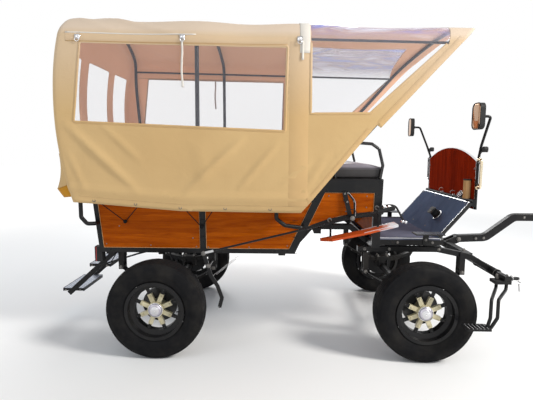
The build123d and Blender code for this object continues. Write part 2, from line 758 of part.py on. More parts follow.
FRONT_BOW = CANVAS_FRONT - 40 + (BOW_FOOT_Z - HEM_Z) / BOW_RAKE

with BuildPart() as tub_frame:
    with BuildSketch(side_plane()) as side_sheet:
        with BuildLine():
            Polyline(
                (tail_reach(0), 0),
                (post_reach(0), 0),
                (post_reach(up(ARCH_LOW)), up(ARCH_LOW)),
            )
            ThreePointArc(
                (post_reach(up(ARCH_LOW)), up(ARCH_LOW)),
                ((post_reach(0) + PILLAR_REACH) / 2 + 40, up(ARCH_MID)),
                (PILLAR_REACH, up(ARCH_HIGH)),
            )
            Polyline(
                (PILLAR_REACH, up(ARCH_HIGH)),
                (PILLAR_REACH, up(DECK_Z - RAIL_H)),
                (PILLAR_REACH + PILLAR_W, up(DECK_Z - RAIL_H)),
                (PILLAR_REACH + PILLAR_W, up(SEAT_BASE_Z)),
                (post_reach(up(SEAT_BASE_Z)), up(SEAT_BASE_Z)),
                (post_reach(POST_TOP), POST_TOP),
                (post_reach(POST_TOP) - POST_X, POST_TOP),
                (post_reach(RISE) - POST_X, RISE),
                (tail_reach(RISE), RISE),
                (tail_reach(0), 0),
            )
        make_face()
        for outline in (REAR_PANEL, FRONT_PANEL):
            with BuildLine():
                Polyline(*outline, close=True)
            make_face(mode=Mode.SUBTRACT)
        with BuildLine():
            ThreePointArc(*SEAT_PANEL[:3])
            Polyline(*SEAT_PANEL[2:], SEAT_PANEL[0])
        make_face(mode=Mode.SUBTRACT)
    extrude(amount=-FRAME_T)
    mirror(about=Plane.XZ)
    with BuildSketch(tail_plane()) as tail_sheet:
        with BuildLine():
            Polyline(
                (-TUB_HALF, 0),
                (TUB_HALF, 0),
                (TUB_HALF + TUB_FLARE, RISE),
                (-TUB_HALF - TUB_FLARE, RISE),
                close=True,
            )
        make_face()
        with BuildLine():
            Polyline(
                (-DOOR_HALF, SILL_TOP),
                (DOOR_HALF, SILL_TOP),
                (DOOR_HALF, RISE + TOP_RAIL_H),
                (-DOOR_HALF, RISE + TOP_RAIL_H),
                close=True,
            )
        make_face(mode=Mode.SUBTRACT)
        for side in SIDES:
            with BuildLine():
                Polyline(
                    (side * (DOOR_HALF + TAIL_POST_W), SILL_TOP),
                    (side * TAIL_PANEL_HALF, SILL_TOP),
                    (side * (TAIL_PANEL_HALF + TUB_FLARE - 3), RAIL_LOW),
                    (side * (DOOR_HALF + TAIL_POST_W), RAIL_LOW),
                    close=True,
                )
            make_face(mode=Mode.SUBTRACT)
    extrude(amount=FRAME_T)
    for side in SIDES:
        loop = [(fwd(reach), side * y, z) for reach, y, z in BACKREST_LOOP]
        round_bar(loop, LOOP_R, 25)
        for foot, root in (
            (REAR_BOW, TUB_REAR),
            (MID_BOWS[0], MID_BOWS[0]),
            (MID_BOWS[1], MID_BOWS[1]),
            (FRONT_BOW, FRONT_BOW),
        ):
            bar(
                (fwd(root), side * (half_width(BOW_FOOT_Z) - FRAME_T / 2), BOW_FOOT_Z - BRACKET_T / 2),
                (fwd(foot), side * (BOW_FOOT_Y + 5), BOW_FOOT_Z - BRACKET_T / 2),
                BRACKET_W,
                BRACKET_T,
            )
    for rise in HINGES:
        hinge_ring(HINGE_R, rise - KNUCKLE - 1, KNUCKLE)
        hinge_ring(HINGE_PIN_R, rise - 1, KNUCKLE)
        hinge_plate(DOOR_HALF, DOOR_HALF + HINGE_STRAP, rise - KNUCKLE - 1, -HINGE_OUT, HINGE_OUT)
finish(tub_frame, "tub_frame")

with BuildPart() as side_panels:
    with BuildSketch(side_plane().offset(-PANEL_SINK)):
        for outline in (REAR_PANEL, FRONT_PANEL):
            with BuildLine():
                Polyline(*outline, close=True)
            make_face()
        with BuildLine():
            ThreePointArc(*SEAT_PANEL[:3])
            Polyline(*SEAT_PANEL[2:], SEAT_PANEL[0])
        make_face()
    extrude(amount=-PANEL_T)
    mirror(about=Plane.XZ)
finish(side_panels, "side_panels")

with BuildPart() as tail_panels:
    for side in SIDES:
        with BuildSketch(tail_plane().offset(PANEL_SINK)) as tail_panel:
            with BuildLine():
                Polyline(
                    (side * (DOOR_HALF + TAIL_POST_W), SILL_TOP),
                    (side * TAIL_PANEL_HALF, SILL_TOP),
                    (side * (TAIL_PANEL_HALF + TUB_FLARE - 3), RAIL_LOW),
                    (side * (DOOR_HALF + TAIL_POST_W), RAIL_LOW),
                    close=True,
                )
            make_face()
        extrude(amount=PANEL_T)
finish(tail_panels, "tail_panels")

# Rear door: a board on two lift-off hinges at its left edge
with BuildPart() as rear_door:
    with BuildSketch(tail_plane().offset(PANEL_SINK)) as leaf:
        with BuildLine():
            Polyline(
                (-DOOR_HALF + DOOR_GAP, SILL_TOP + DOOR_GAP),
                (DOOR_HALF - DOOR_GAP, SILL_TOP + DOOR_GAP),
                (DOOR_HALF - DOOR_GAP, RISE),
                (-DOOR_HALF + DOOR_GAP, RISE),
                close=True,
            )
        make_face()
    extrude(amount=PANEL_T)
    for rise in HINGES:
        hinge_plate(DOOR_HALF - HINGE_STRAP, DOOR_HALF - 2 * DOOR_GAP, rise, -HINGE_OUT, HINGE_OUT + PANEL_SINK)
        hinge_plate(DOOR_HALF - HINGE_STRAP, DOOR_HALF, rise, -HINGE_OUT - HINGE_R / 2, HINGE_R)
        hinge_ring(HINGE_R, rise, KNUCKLE)
        hinge_ring(HINGE_PIN_R + HINGE_PIN_FIT, rise, KNUCKLE, Mode.SUBTRACT)
finish(rear_door, "rear_door")

# Seat box: raked back board shared with the tub, and an upright board behind the legs
with BuildPart() as seat_boards:
    board_half = inner_half(DECK_Z)
    front_x = fwd(PILLAR_REACH + PILLAR_W / 2)
    box(
        (front_x, -board_half, DECK_Z + DECK_T),
        (front_x + BENCH_BOARD, board_half, SEAT_RAIL_Z - 2),
    )
    base = TUB_BASE_Z + SILL_H + 2
    with BuildSketch(Plane.XZ) as rake:
        with BuildLine():
            Polyline(
                (fwd(post_reach(up(base)) - POST_X), base),
                (fwd(post_reach(up(base)) - POST_X) + BENCH_BOARD, base),
                (fwd(post_reach(up(SEAT_BASE_Z)) - POST_X) + BENCH_BOARD, SEAT_BASE_Z),
                (fwd(post_reach(up(SEAT_BASE_Z)) - POST_X), SEAT_BASE_Z),
                close=True,
            )
        make_face()
    extrude(amount=inner_half(TUB_BASE_Z), both=True)
finish(seat_boards, "seat_boards")

with BuildPart() as seat_frame:
    box(
        (fwd(SEAT_REAR), -SEAT_HALF, SEAT_RAIL_Z),
        (fwd(SEAT_FRONT), SEAT_HALF, SEAT_BASE_Z),
    )
    box(
        (fwd(SEAT_REAR + SEAT_FRAME_T), SEAT_FRAME_T - SEAT_HALF, SEAT_RAIL_Z),
        (fwd(SEAT_FRONT - SEAT_FRAME_T), SEAT_HALF - SEAT_FRAME_T, SEAT_BASE_Z - 10),
        Mode.SUBTRACT,
    )
finish(seat_frame, "seat_frame")

# Driver's seat: cushion, back and the two bent tubes that hold the back
ARM_R = 11.0
ARM_Y = SEAT_HALF + ARM_R
SEAT_BACK_LOW = 1350.0
SEAT_BACK_TOP = 1620.0
SEAT_BACK_T = 50.0
SEAT_BACK_REACH = 1210.0
SEAT_BACK_LEAN = 40.0
ARM_TOP_Z = 1480.0
ARM_LOOP = (
    (SEAT_BACK_REACH + 25, 1170),
    (SEAT_BACK_REACH + 5, ARM_TOP_Z),
    (1404, ARM_TOP_Z),
    (1481, 1474),
    (1531, 1439),
    (1560, 1327),
    (1545, 1236),
    (1545, 1170),
)

with BuildPart() as driver_cushion:
    with BuildSketch(Plane.XZ):
        with BuildLine():
            Polyline(
                (fwd(SEAT_REAR), SEAT_BASE_Z + CUSHION_T),
                (fwd(SEAT_REAR), SEAT_BASE_Z),
                (fwd(SEAT_FRONT), SEAT_BASE_Z),
                (fwd(SEAT_FRONT), SEAT_BASE_Z + CUSHION_T),
            )
            ThreePointArc(
                (fwd(SEAT_FRONT), SEAT_BASE_Z + CUSHION_T),
                (fwd((SEAT_REAR + SEAT_FRONT) / 2), SEAT_BASE_Z + CUSHION_T + 30),
                (fwd(SEAT_REAR), SEAT_BASE_Z + CUSHION_T),
            )
        make_face()
    extrude(amount=SEAT_HALF - 2, both=True)
    fillet(driver_cushion.edges().group_by(Axis.Z)[-1], 18)
finish(driver_cushion, "driver_cushion")

with BuildPart() as driver_back:
    with BuildSketch(Plane.XZ):
        with BuildLine():
            FilletPolyline(
                (fwd(SEAT_BACK_REACH), SEAT_BACK_LOW),
                (fwd(SEAT_BACK_REACH + SEAT_BACK_T), SEAT_BACK_LOW),
                (fwd(SEAT_BACK_REACH + SEAT_BACK_T - SEAT_BACK_LEAN), SEAT_BACK_TOP),
                (fwd(SEAT_BACK_REACH - SEAT_BACK_LEAN), SEAT_BACK_TOP),
                radius=18,
                close=True,
            )
        make_face()
    extrude(amount=SEAT_HALF, both=True)
finish(driver_back, "driver_back")

with BuildPart() as seat_arms:
    for side in SIDES:
        round_bar([(fwd(reach), side * ARM_Y, z) for reach, z in ARM_LOOP], ARM_R, 18)
finish(seat_arms, "seat_arms")

# Benches along the sides
BENCH_OUTER = inner_half(BENCH_Z - BENCH_BOARD) - 2
PAD_EDGE = 14.0

with BuildPart() as bench_boxes:
    box(
        (fwd(BENCH_REAR), -BENCH_OUTER, BENCH_Z - BENCH_BOARD),
        (fwd(BENCH_FRONT), -BENCH_INNER, BENCH_Z),
    )
    box(
        (fwd(BENCH_REAR), -BENCH_INNER - BENCH_BOARD, FLOOR_Z + FLOOR_T),
        (fwd(BENCH_FRONT), -BENCH_INNER, BENCH_Z),
    )
    for reach in (BENCH_REAR, BENCH_FRONT - BENCH_BOARD):
        box(
            (fwd(reach), -inner_half(FLOOR_Z + FLOOR_T), FLOOR_Z + FLOOR_T),
            (fwd(reach + BENCH_BOARD), -BENCH_INNER, BENCH_Z),
        )
    mirror(about=Plane.XZ)
finish(bench_boxes, "bench_boxes")

with BuildPart() as bench_cushions:
    with BuildSketch(Plane.XY.offset(BENCH_Z)):
        with Locations((fwd((BENCH_REAR + BENCH_FRONT) / 2), -(BENCH_INNER + BENCH_OUTER) / 2)):
            RectangleRounded(BENCH_FRONT - BENCH_REAR, BENCH_OUTER - BENCH_INNER, 30)
    extrude(amount=BENCH_PAD)
    fillet(bench_cushions.edges().group_by(Axis.Z)[-1], PAD_EDGE)
    mirror(about=Plane.XZ)
finish(bench_cushions, "bench_cushions")

with BuildPart() as bench_backs:
    with BuildSketch(Plane.XZ.offset(LOOP_Y - LOOP_R - BACK_T)):
        with Locations((fwd(sum(LOOP_ENDS) / 2), (BACK_Z + LOOP_TOP) / 2)):
            RectangleRounded(LOOP_ENDS[1] - LOOP_ENDS[0] - 4 * LOOP_R, LOOP_TOP - BACK_Z, 40)
    extrude(amount=BACK_T)
    fillet(bench_backs.edges().group_by(Axis.Y)[-1], PAD_EDGE)
    mirror(about=Plane.XZ)
finish(bench_backs, "bench_backs")

# Canvas top: a tunnel section cut by the side profile with its leaning front
HULL_REAR = CANVAS_BULGE - 100
HULL_LENGTH = 3200.0
HULL_TOP = EAVE_Z + CROWN_RISE + 25
TAIL_TURN_Z = 2250.0


def eave_z(reach):
    """Height of the eave, which falls a little toward the front."""
    return EAVE_Z - EAVE_FALL * reach


def tunnel(inset):
    """Cross-section of the top at its rear, a distance in from the outside of the canvas."""
    low = HEM_Z - 5 * inset
    eave = eave_z(HULL_REAR) - inset
    with BuildSketch(Plane.YZ.offset(fwd(HULL_REAR))) as section:
        with BuildLine():
            Polyline(
                (inset - EAVE_HALF, eave),
                (inset - HEM_HALF, low),
                (HEM_HALF - inset, low),
                (EAVE_HALF - inset, eave),
            )
            ThreePointArc(
                (EAVE_HALF - inset, eave),
                (0, eave + CROWN_RISE),
                (inset - EAVE_HALF, eave),
            )
        make_face()
        fillet(section.vertices().sort_by(Axis.Y)[-2:], SHOULDER_R - inset)
    return section.sketch


def profile(inset):
    """Side view of the top, a distance in from the outside of the canvas."""
    open_by = 5 * inset
    hem = [(fwd(reach), z - open_by) for reach, z in HEM_LINE]
    hem[-1] = (fwd(CANVAS_REAR + inset), hem[-1][1])
    visor = [(fwd(reach + open_by), z - open_by) for reach, z in (VISOR_TIP, *reversed(VISOR_NOTCH))]
    rear_top = eave_z(CANVAS_REAR_TOP) + CROWN_RISE - inset
    front_reach = VISOR_TIP[0] + open_by + (HULL_TOP - VISOR_TIP[1] + open_by) / VISOR_SLOPE
    with BuildSketch(Plane.XZ) as section:
        with BuildLine():
            ThreePointArc(
                hem[-1],
                (fwd(CANVAS_BULGE + inset), CANVAS_BULGE_Z),
                (fwd(CANVAS_REAR_TOP + inset), TAIL_TURN_Z),
            )
            Polyline(
                (fwd(CANVAS_REAR_TOP + inset), TAIL_TURN_Z),
                (fwd(CANVAS_REAR_TOP + inset + 15), rear_top),
                (fwd(front_reach), HULL_TOP - inset),
                *visor,
                (fwd(CANVAS_FRONT + open_by), HEM_Z - open_by),
                *hem,
            )
        make_face()
        turn = section.vertices().sort_by(Axis.Y)[-2:].sort_by(Axis.X)[0]
        fillet(turn, CANVAS_TAIL_R - inset)
    return section.sketch


def hull(inset):
    """Solid under the canvas's outer face, or under an inset of it."""
    with BuildPart() as solid:
        extrude(tunnel(inset), amount=HULL_LENGTH, dir=(1, 0, -EAVE_FALL))
        extrude(profile(inset), amount=2 * HEM_HALF, both=True, mode=Mode.INTERSECT)
    return solid.part


SIDE_WINDOW = (
    (-517.0, 1607.0),
    (874.0, 1548.0),
    (887.0, 2087.0),
    (-456.0, 2120.0),
)
FRONT_WINDOW = (
    (1038.0, 1663.0),
    (1422.0, 1666.0),
    (1905.0, 2105.0),
    (1960.0, 2440.0),
    (1034.0, 2440.0),
)
WINDOW_TURN = 15.0
CROWN_STRIP = 380.0
REAR_WINDOWS = ((-475.0, 290.0), (0.0, 400.0), (475.0, 290.0))
REAR_WINDOW_Z = 1845.0
REAR_WINDOW_H = 490.0

with BuildPart() as window_cuts:
    with BuildSketch(Plane.XZ.offset(CROWN_STRIP)):
        with BuildLine():
            FilletPolyline(*[(fwd(reach), z) for reach, z in FRONT_WINDOW], radius=WINDOW_TURN, close=True)
        make_face()
    extrude(amount=CROWN_STRIP)
    mirror(about=Plane.XZ)
    with BuildSketch(Plane.XZ):
        with BuildLine():
            FilletPolyline(*[(fwd(reach), z) for reach, z in SIDE_WINDOW], radius=WINDOW_TURN, close=True)
        make_face()
    extrude(amount=HEM_HALF, both=True)
    with BuildSketch(Plane.YZ.offset(fwd(HULL_REAR))):
        for middle, width in REAR_WINDOWS:
            with Locations((middle, REAR_WINDOW_Z)):
                RectangleRounded(width, REAR_WINDOW_H, WINDOW_TURN)
    extrude(amount=300)

with BuildPart() as canvas:
    add(hull(0))
    add(hull(CANVAS_T), mode=Mode.SUBTRACT)
    add(window_cuts.part, mode=Mode.SUBTRACT)

with BuildPart() as canopy_windows:
    add(hull((CANVAS_T - PANE_T) / 2))
    add(hull((CANVAS_T + PANE_T) / 2), mode=Mode.SUBTRACT)
    add(window_cuts.part, mode=Mode.INTERSECT)
finish(canopy_windows, "canopy_windows")

CURTAIN_REACH = -545.0
FAR_REACH = HULL_REAR + HULL_LENGTH
for name, low, high in (
    ("canopy_roof", (HULL_REAR, -HEM_HALF, SEAM_Z), (FAR_REACH, HEM_HALF, HULL_TOP)),
    ("canopy_side_right", (CURTAIN_REACH, -HEM_HALF, HEM_Z - 10), (FAR_REACH, 0, SEAM_Z)),
    ("canopy_side_left", (CURTAIN_REACH, 0, HEM_Z - 10), (FAR_REACH, HEM_HALF, SEAM_Z)),
    ("canopy_rear", (HULL_REAR, -HEM_HALF, REAR_HEM_Z), (CURTAIN_REACH, HEM_HALF, SEAM_Z)),
):
    with BuildPart() as panel:
        add(canvas.part)
        box((fwd(low[0]), *low[1:]), (fwd(high[0]), *high[1:]), Mode.INTERSECT)
    finish(panel, name)


def bow(reach, lean, turn):
    """One bow under the canvas, its plane leaning forward by this much per height."""
    stretch = math.hypot(1, lean)
    origin = (fwd(reach), 0, BOW_FOOT_Z)
    plane = Plane(origin=origin, x_dir=(0, 1, 0), z_dir=(1, 0, -lean))
    top = reach + lean * (EAVE_Z - BOW_FOOT_Z)
    eave = (eave_z(top) - BOW_INSET - BOW_FOOT_Z) * stretch
    crown = eave + CROWN_RISE * stretch
    foot = BOW_R * (lean + BOW_TAPER * stretch)
    with BuildLine(plane) as path:
        Line((-BOW_FOOT_Y, foot), (-BOW_HALF, eave))
        ThreePointArc((-BOW_HALF, eave), (0, crown), (BOW_HALF, eave))
        Line((BOW_HALF, eave), (BOW_FOOT_Y, foot))
        fillet(path.vertices().sort_by(Axis.Z)[-2:], turn)
    with BuildSketch(Plane(origin=path.line @ 0, z_dir=path.line % 0)) as section:
        Circle(BOW_R)
    sweep(section.sketch, path=path.line)


EAVE_RAIL_Y = 711.0
EAVE_RAIL_Z = (2178.0, 2112.0)
BOW_TURN = SHOULDER_R - BOW_INSET
REAR_BOW_LINE = (
    # reach, distance from the middle, height
    (REAR_BOW, BOW_FOOT_Y, BOW_FOOT_Z + 2),
    (-530, 728, 1500),
    (-560, 718, 1900),
    (-566, 708, 2130),
    (-555, 676, 2228),
    (-525, 520, 2298),
    (-488, 260, 2346),
    (-471, 0, 2364),
)
with BuildPart() as canopy_bows:
    right = [(fwd(reach), -y, z) for reach, y, z in REAR_BOW_LINE]
    left = [(x, -y, z) for x, y, z in reversed(right[:-1])]
    with BuildLine():
        hoop = Spline(*right, *left)
    with BuildSketch(Plane(origin=hoop @ 0, z_dir=hoop % 0)):
        Circle(BOW_R)
    sweep(path=hoop)
    for reach in MID_BOWS:
        bow(reach, 0, BOW_TURN)
    bow(FRONT_BOW, 1 / BOW_RAKE, 1.35 * BOW_TURN)
    rail_ends = (fwd(REAR_BOW - 70), fwd(FRONT_BOW + (EAVE_RAIL_Z[1] - BOW_FOOT_Z) / BOW_RAKE))
    for side in SIDES:
        start = (rail_ends[0], side * EAVE_RAIL_Y, EAVE_RAIL_Z[0])
        end = (rail_ends[1], side * EAVE_RAIL_Y, EAVE_RAIL_Z[1])
        bar(start, end, BOW_R, BOW_R)
finish(canopy_bows, "canopy_bows")

# Driver's deck, toe-board and dashboard
TOE_RUN = TOE_TOP - DECK_FRONT
TOE_RISE = TOE_TOP_Z - DECK_Z - DECK_T
TOE_LENGTH = math.hypot(TOE_RUN, TOE_RISE)
TOE_SLOPE = math.atan2(TOE_RISE, TOE_RUN)
TOE_HALF = DASH_HALF + 12
DECK_TOP = DECK_Z + DECK_T


def toe_plane(side):
    """Underside of the toe-board: local x up the slope, from its foot."""
    origin = (fwd(DECK_FRONT), side, DECK_TOP)
    x_dir = (math.cos(TOE_SLOPE), 0, math.sin(TOE_SLOPE))
    return Plane(origin=origin, x_dir=x_dir, z_dir=(-math.sin(TOE_SLOPE), 0, math.cos(TOE_SLOPE)))


with BuildPart() as footboard:
    box((fwd(DECK_REAR), -DECK_HALF, DECK_Z), (fwd(DECK_FRONT), DECK_HALF, DECK_TOP))
finish(footboard, "footboard")

with BuildPart() as toe_board:
    with BuildSketch(Plane.XZ):
        with BuildLine():
            Polyline(
                (fwd(DECK_FRONT), DECK_TOP),
                (fwd(TOE_TOP), TOE_TOP_Z),
                (
                    fwd(TOE_TOP - TOE_T * math.sin(TOE_SLOPE)),
                    TOE_TOP_Z + TOE_T * math.cos(TOE_SLOPE),
                ),
                (fwd(DECK_FRONT - TOE_T / math.sin(TOE_SLOPE)), DECK_TOP),
                close=True,
            )
        make_face()
    extrude(amount=TOE_HALF, both=True)
finish(toe_board, "toe_board")


def arch(growth):
    """Outline of the dashboard, grown outward by the thickness of its edging."""
    half = DASH_HALF + growth
    with BuildSketch(Plane.YZ.offset(fwd(DASH_REACH))) as outline:
        with BuildLine():
            Polyline(
                (-half, DASH_SHOULDER_Z),
                (-half, DASH_BASE_Z),
                (half, DASH_BASE_Z),
                (half, DASH_SHOULDER_Z),
            )
            ThreePointArc((half, DASH_SHOULDER_Z), (0, DASH_TOP_Z + growth), (-half, DASH_SHOULDER_Z))
        make_face()
    return outline.sketch


with BuildPart() as dash_board:
    extrude(arch(0), amount=DASH_T)
finish(dash_board, "dash_board")

with BuildPart() as board_trims:
    extrude(arch(TRIM_T), amount=DASH_T)
    extrude(arch(0), amount=DASH_T, mode=Mode.SUBTRACT)
    for side in SIDES:
        bar(
            (fwd(DECK_FRONT), side * (TOE_HALF + TRIM_T / 2), DECK_TOP + TRIM_W / 2),
            (fwd(TOE_TOP - 12), side * (TOE_HALF + TRIM_T / 2), TOE_TOP_Z - 12),
            TRIM_T,
            TRIM_W,
        )
    box(
        (fwd(DECK_FRONT), -DECK_HALF, DECK_Z),
        (fwd(DECK_FRONT) + TRIM_T, DECK_HALF, DECK_TOP),
    )
finish(board_trims, "board_trims")

# Dash rails: toe bars, posts, grab handles and the arms of the mirrors
TOE_BAR = 25.0
RAIL_TUBE_R = 9.0
POST_Y = DASH_HALF + TRIM_T + RAIL_TUBE_R
POST_REACH = DASH_REACH + DASH_T / 2
HANDLE_R = 8.0
HANDLE_OUT = 48.0
MIRROR_REACH = 2118.0
MIRROR_Y = 705.0
MIRROR_Z = 1653.0
MIRROR_TURN = math.radians(3)
MIRROR_W = 110.0
MIRROR_H = 170.0
MIRROR_T = 30.0
MIRROR_STEM = 65.0
LAMP_Y = 520.0
LAMP_Z = 1440.0
LAMP_R = 20.0
LAMP_REACH = 2262.0


def mirror_point(back):
    """A place behind the middle of the mirror's face, on the right-hand side."""
    reach = MIRROR_REACH + back * math.cos(MIRROR_TURN)
    return (fwd(reach), back * math.sin(MIRROR_TURN) - MIRROR_Y, MIRROR_Z)


with BuildPart() as dash_rails:
    bar_z = TOE_BAR / 2
    foot = toe_plane(-RAIL_Y).from_local_coords((bar_z, 0, -bar_z))
    head = toe_plane(-RAIL_Y).from_local_coords((TOE_LENGTH, 0, -bar_z))
    bar(foot, head, TOE_BAR, TOE_BAR)
    box(
        (fwd(TOE_TOP + 2), -POST_Y, TOE_TOP_Z - TOE_BAR),
        (fwd(DASH_REACH), 0, TOE_TOP_Z + TOE_BAR),
    )
    box(
        (fwd(TOE_TOP + 2), -POST_Y - RAIL_TUBE_R, TOE_TOP_Z - TOE_BAR),
        (fwd(POST_REACH), RAIL_TUBE_R - POST_Y, TOE_TOP_Z + TOE_BAR),
    )
    round_bar(
        (
            (fwd(POST_REACH), -POST_Y, DASH_BASE_Z),
            (fwd(POST_REACH), -POST_Y, DASH_SHOULDER_Z + 15),
            (fwd(POST_REACH - 15), -POST_Y - 65, DASH_TOP_Z + 15),
            mirror_point(MIRROR_T + MIRROR_STEM),
            mirror_point(MIRROR_T),
        ),
        RAIL_TUBE_R,
        24,
    )
    round_bar(
        (
            (fwd(POST_REACH), -POST_Y, DASH_SHOULDER_Z - 10),
            (fwd(POST_REACH), -POST_Y - HANDLE_OUT, DASH_SHOULDER_Z - 10),
            (fwd(POST_REACH), -POST_Y - HANDLE_OUT, DASH_SHOULDER_Z - 165),
            (fwd(POST_REACH), -POST_Y, DASH_SHOULDER_Z - 165),
        ),
        HANDLE_R,
        20,
    )
    box(
        (fwd(POST_REACH - 10), -LAMP_Y - LAMP_R, LAMP_Z - LAMP_R),
        (fwd(LAMP_REACH), -LAMP_Y + LAMP_R, LAMP_Z + LAMP_R / 2),
    )
    mirror(about=Plane.XZ)
finish(dash_rails, "dash_rails")

with BuildPart() as mirrors:
    facing = (-math.cos(MIRROR_TURN), -math.sin(MIRROR_TURN), 0)
    across = (math.sin(MIRROR_TURN), -math.cos(MIRROR_TURN), 0)
    with BuildSketch(Plane(origin=mirror_point(0), x_dir=across, z_dir=facing)):
        RectangleRounded(MIRROR_W, MIRROR_H, 34)
    extrude(amount=-MIRROR_T)
    mirror(about=Plane.XZ)
finish(mirrors, "mirrors")

with BuildPart() as front_lamps:
    with BuildSketch(Plane.YZ.offset(fwd(LAMP_REACH))):
        with Locations((-LAMP_Y, LAMP_Z), (LAMP_Y, LAMP_Z)):
            Circle(LAMP_R)
    extrude(amount=28)
finish(front_lamps, "front_lamps")

WHIP_R = 26.0
WHIP_BORE_R = 15.0
WHIP_Z = TOE_TOP_Z + TOE_BAR + 2
WHIP_LENGTH = 140.0
WHIP_Y = -400.0
with BuildPart() as whip_holder:
    with BuildSketch(Plane.XY.offset(WHIP_Z)):
        with Locations((fwd(DASH_REACH) - WHIP_R, WHIP_Y)):
            Circle(WHIP_R)
    extrude(amount=WHIP_LENGTH)
    with BuildSketch(Plane.XY.offset(WHIP_Z + 15)):
        with Locations((fwd(DASH_REACH) - WHIP_R, WHIP_Y)):
            Circle(WHIP_BORE_R)
    extrude(amount=WHIP_LENGTH, mode=Mode.SUBTRACT)
finish(whip_holder, "whip_holder")

PEDAL_Y = -200.0
PEDAL_UP = 150.0
with BuildPart() as foot_pedal:
    for start, radius, length in ((0, 30, 6), (6, 22, 34), (40, 9, 22)):
        with BuildSketch(toe_plane(PEDAL_Y).offset(TOE_T + start)):
            with Locations((PEDAL_UP, 0)):
                Circle(radius)
        extrude(amount=length)
    with BuildSketch(toe_plane(PEDAL_Y).offset(TOE_T + 60)):
        with Locations((PEDAL_UP, 0)):
            RectangleRounded(60, 85, 10)
    extrude(amount=8)
finish(foot_pedal, "foot_pedal")

# Side plates at the deck, and the boards over the front wheels
PLATE_REACH = 1900.0
PLATE_Z = 840.0
with BuildPart() as side_plates:
    box((fwd(PLATE_REACH - 100), -DECK_HALF - 100, PLATE_Z), (fwd(PLATE_REACH + 100), -DECK_HALF, PLATE_Z + 8))
    box((fwd(PLATE_REACH - 20), -DECK_HALF - 8, DECK_Z - 30), (fwd(PLATE_REACH + 20), -DECK_HALF, PLATE_Z + 8))
    mirror(about=Plane.XZ)
finish(side_plates, "side_plates")

FENDER = ((1123.0, 821.0), (1402.0, 880.0), (1625.0, 938.0))
FENDER_T = 15.0
FENDER_IN = 660.0
FENDER_OUT = 770.0
FENDER_POINT = 70.0
FENDER_STAYS = ((1190.0, 950.0), (1510.0, 1040.0))
STAY_Y = 690.0
STAY_R = 7.0


def fender_top(reach):
    """Height of the board's upper face at a reach."""
    for (start, low), (end, high) in zip(FENDER, FENDER[1:]):
        if reach <= end:
            return low + (high - low) * (reach - start) / (end - start) + FENDER_T / 2
    return FENDER[-1][1]


with BuildPart() as fender_boards:
    with BuildSketch(Plane.XZ.offset(FENDER_IN)):
        with BuildLine():
            over = [(fwd(reach), z + FENDER_T / 2) for reach, z in FENDER]
            under = [(fwd(reach), z - FENDER_T / 2) for reach, z in FENDER]
            Polyline(*over, *reversed(under), close=True)
        make_face()
    extrude(amount=FENDER_OUT - FENDER_IN)
    with BuildSketch(Plane.XY.offset(FENDER[0][1] - 60)):
        with BuildLine():
            Polyline(
                (fwd(FENDER[0][0]) - 30, -FENDER_IN),
                (fwd(FENDER[0][0]) + FENDER_POINT, -FENDER_OUT - 1),
                (fwd(FENDER[0][0]) - 30, -FENDER_OUT - 1),
                close=True,
            )
        make_face()
    extrude(amount=120, mode=Mode.SUBTRACT)
    for reach, height in FENDER_STAYS:
        round_bar(
            (
                (fwd(reach), -half_width(height + STAY_R), height),
                (fwd(reach), -STAY_Y, height),
                (fwd(reach), -STAY_Y, fender_top(reach) - FENDER_T / 2),
            ),
            STAY_R,
            18,
        )
    mirror(about=Plane.XZ)
finish(fender_boards, "fender_boards")

# Hand brake: lever on a bracket, pull rod and the crank in front of the rear wheel
BRAKE_Y = -716.0
ROD_R = 7.0
GRIP_R = 12.0
ROD_ENDS = ((327.0, 729.0), (1607.0, 1048.0))
GRIP_START = (1499.0, 1021.0)
BRAKE_PIVOT = (1330.0, 979.0)
BRACKET_TOP = (1283.0, 1150.0)
CRANK = ((326.0, 729.0), (374.0, 572.0), (419.0, 500.0), (450.0, 414.0), (435.0, 355.0))
CRANK_PIVOT = (360.0, 640.0)
CRANK_W = 26.0
with BuildPart() as brake_linkage:
    places = [(fwd(reach), BRAKE_Y, z) for reach, z in ROD_ENDS]
    with BuildSketch(Plane(origin=places[0], z_dir=Vector(*places[1]) - Vector(*places[0]))) as rod:
        Circle(ROD_R)
    extrude(amount=(Vector(*places[1]) - Vector(*places[0])).length)
    grip = (fwd(GRIP_START[0]), BRAKE_Y, GRIP_START[1])
    with BuildSketch(Plane(origin=grip, z_dir=Vector(*places[1]) - Vector(*grip))):
        Circle(GRIP_R)
    extrude(amount=(Vector(*places[1]) - Vector(*grip)).length)
    plate_y = -half_width(BRACKET_TOP[1] + 20) - 4
    bar(
        (fwd(BRACKET_TOP[0]), plate_y, BRACKET_TOP[1]),
        (fwd(BRAKE_PIVOT[0]), plate_y, BRAKE_PIVOT[1] - 10),
        8,
        30,
    )
    cross_rod(*BRAKE_PIVOT, 10, BRAKE_Y - 12, plate_y)
    for start, end in zip(CRANK, CRANK[1:]):
        bar((fwd(start[0]), BRAKE_Y, start[1]), (fwd(end[0]), BRAKE_Y, end[1]), 8, CRANK_W)
        cross_rod(*end, CRANK_W / 2, BRAKE_Y - 4, BRAKE_Y + 4)
    cross_rod(*CRANK_PIVOT, 12, BRAKE_Y, 20 - TUB_HALF)
    bar((fwd(CRANK_PIVOT[0]), 20 - TUB_HALF, CRANK_PIVOT[1]), (fwd(CRANK_PIVOT[0]), 20 - TUB_HALF, TUB_BASE_Z), 8, 50)
finish(brake_linkage, "brake_linkage")

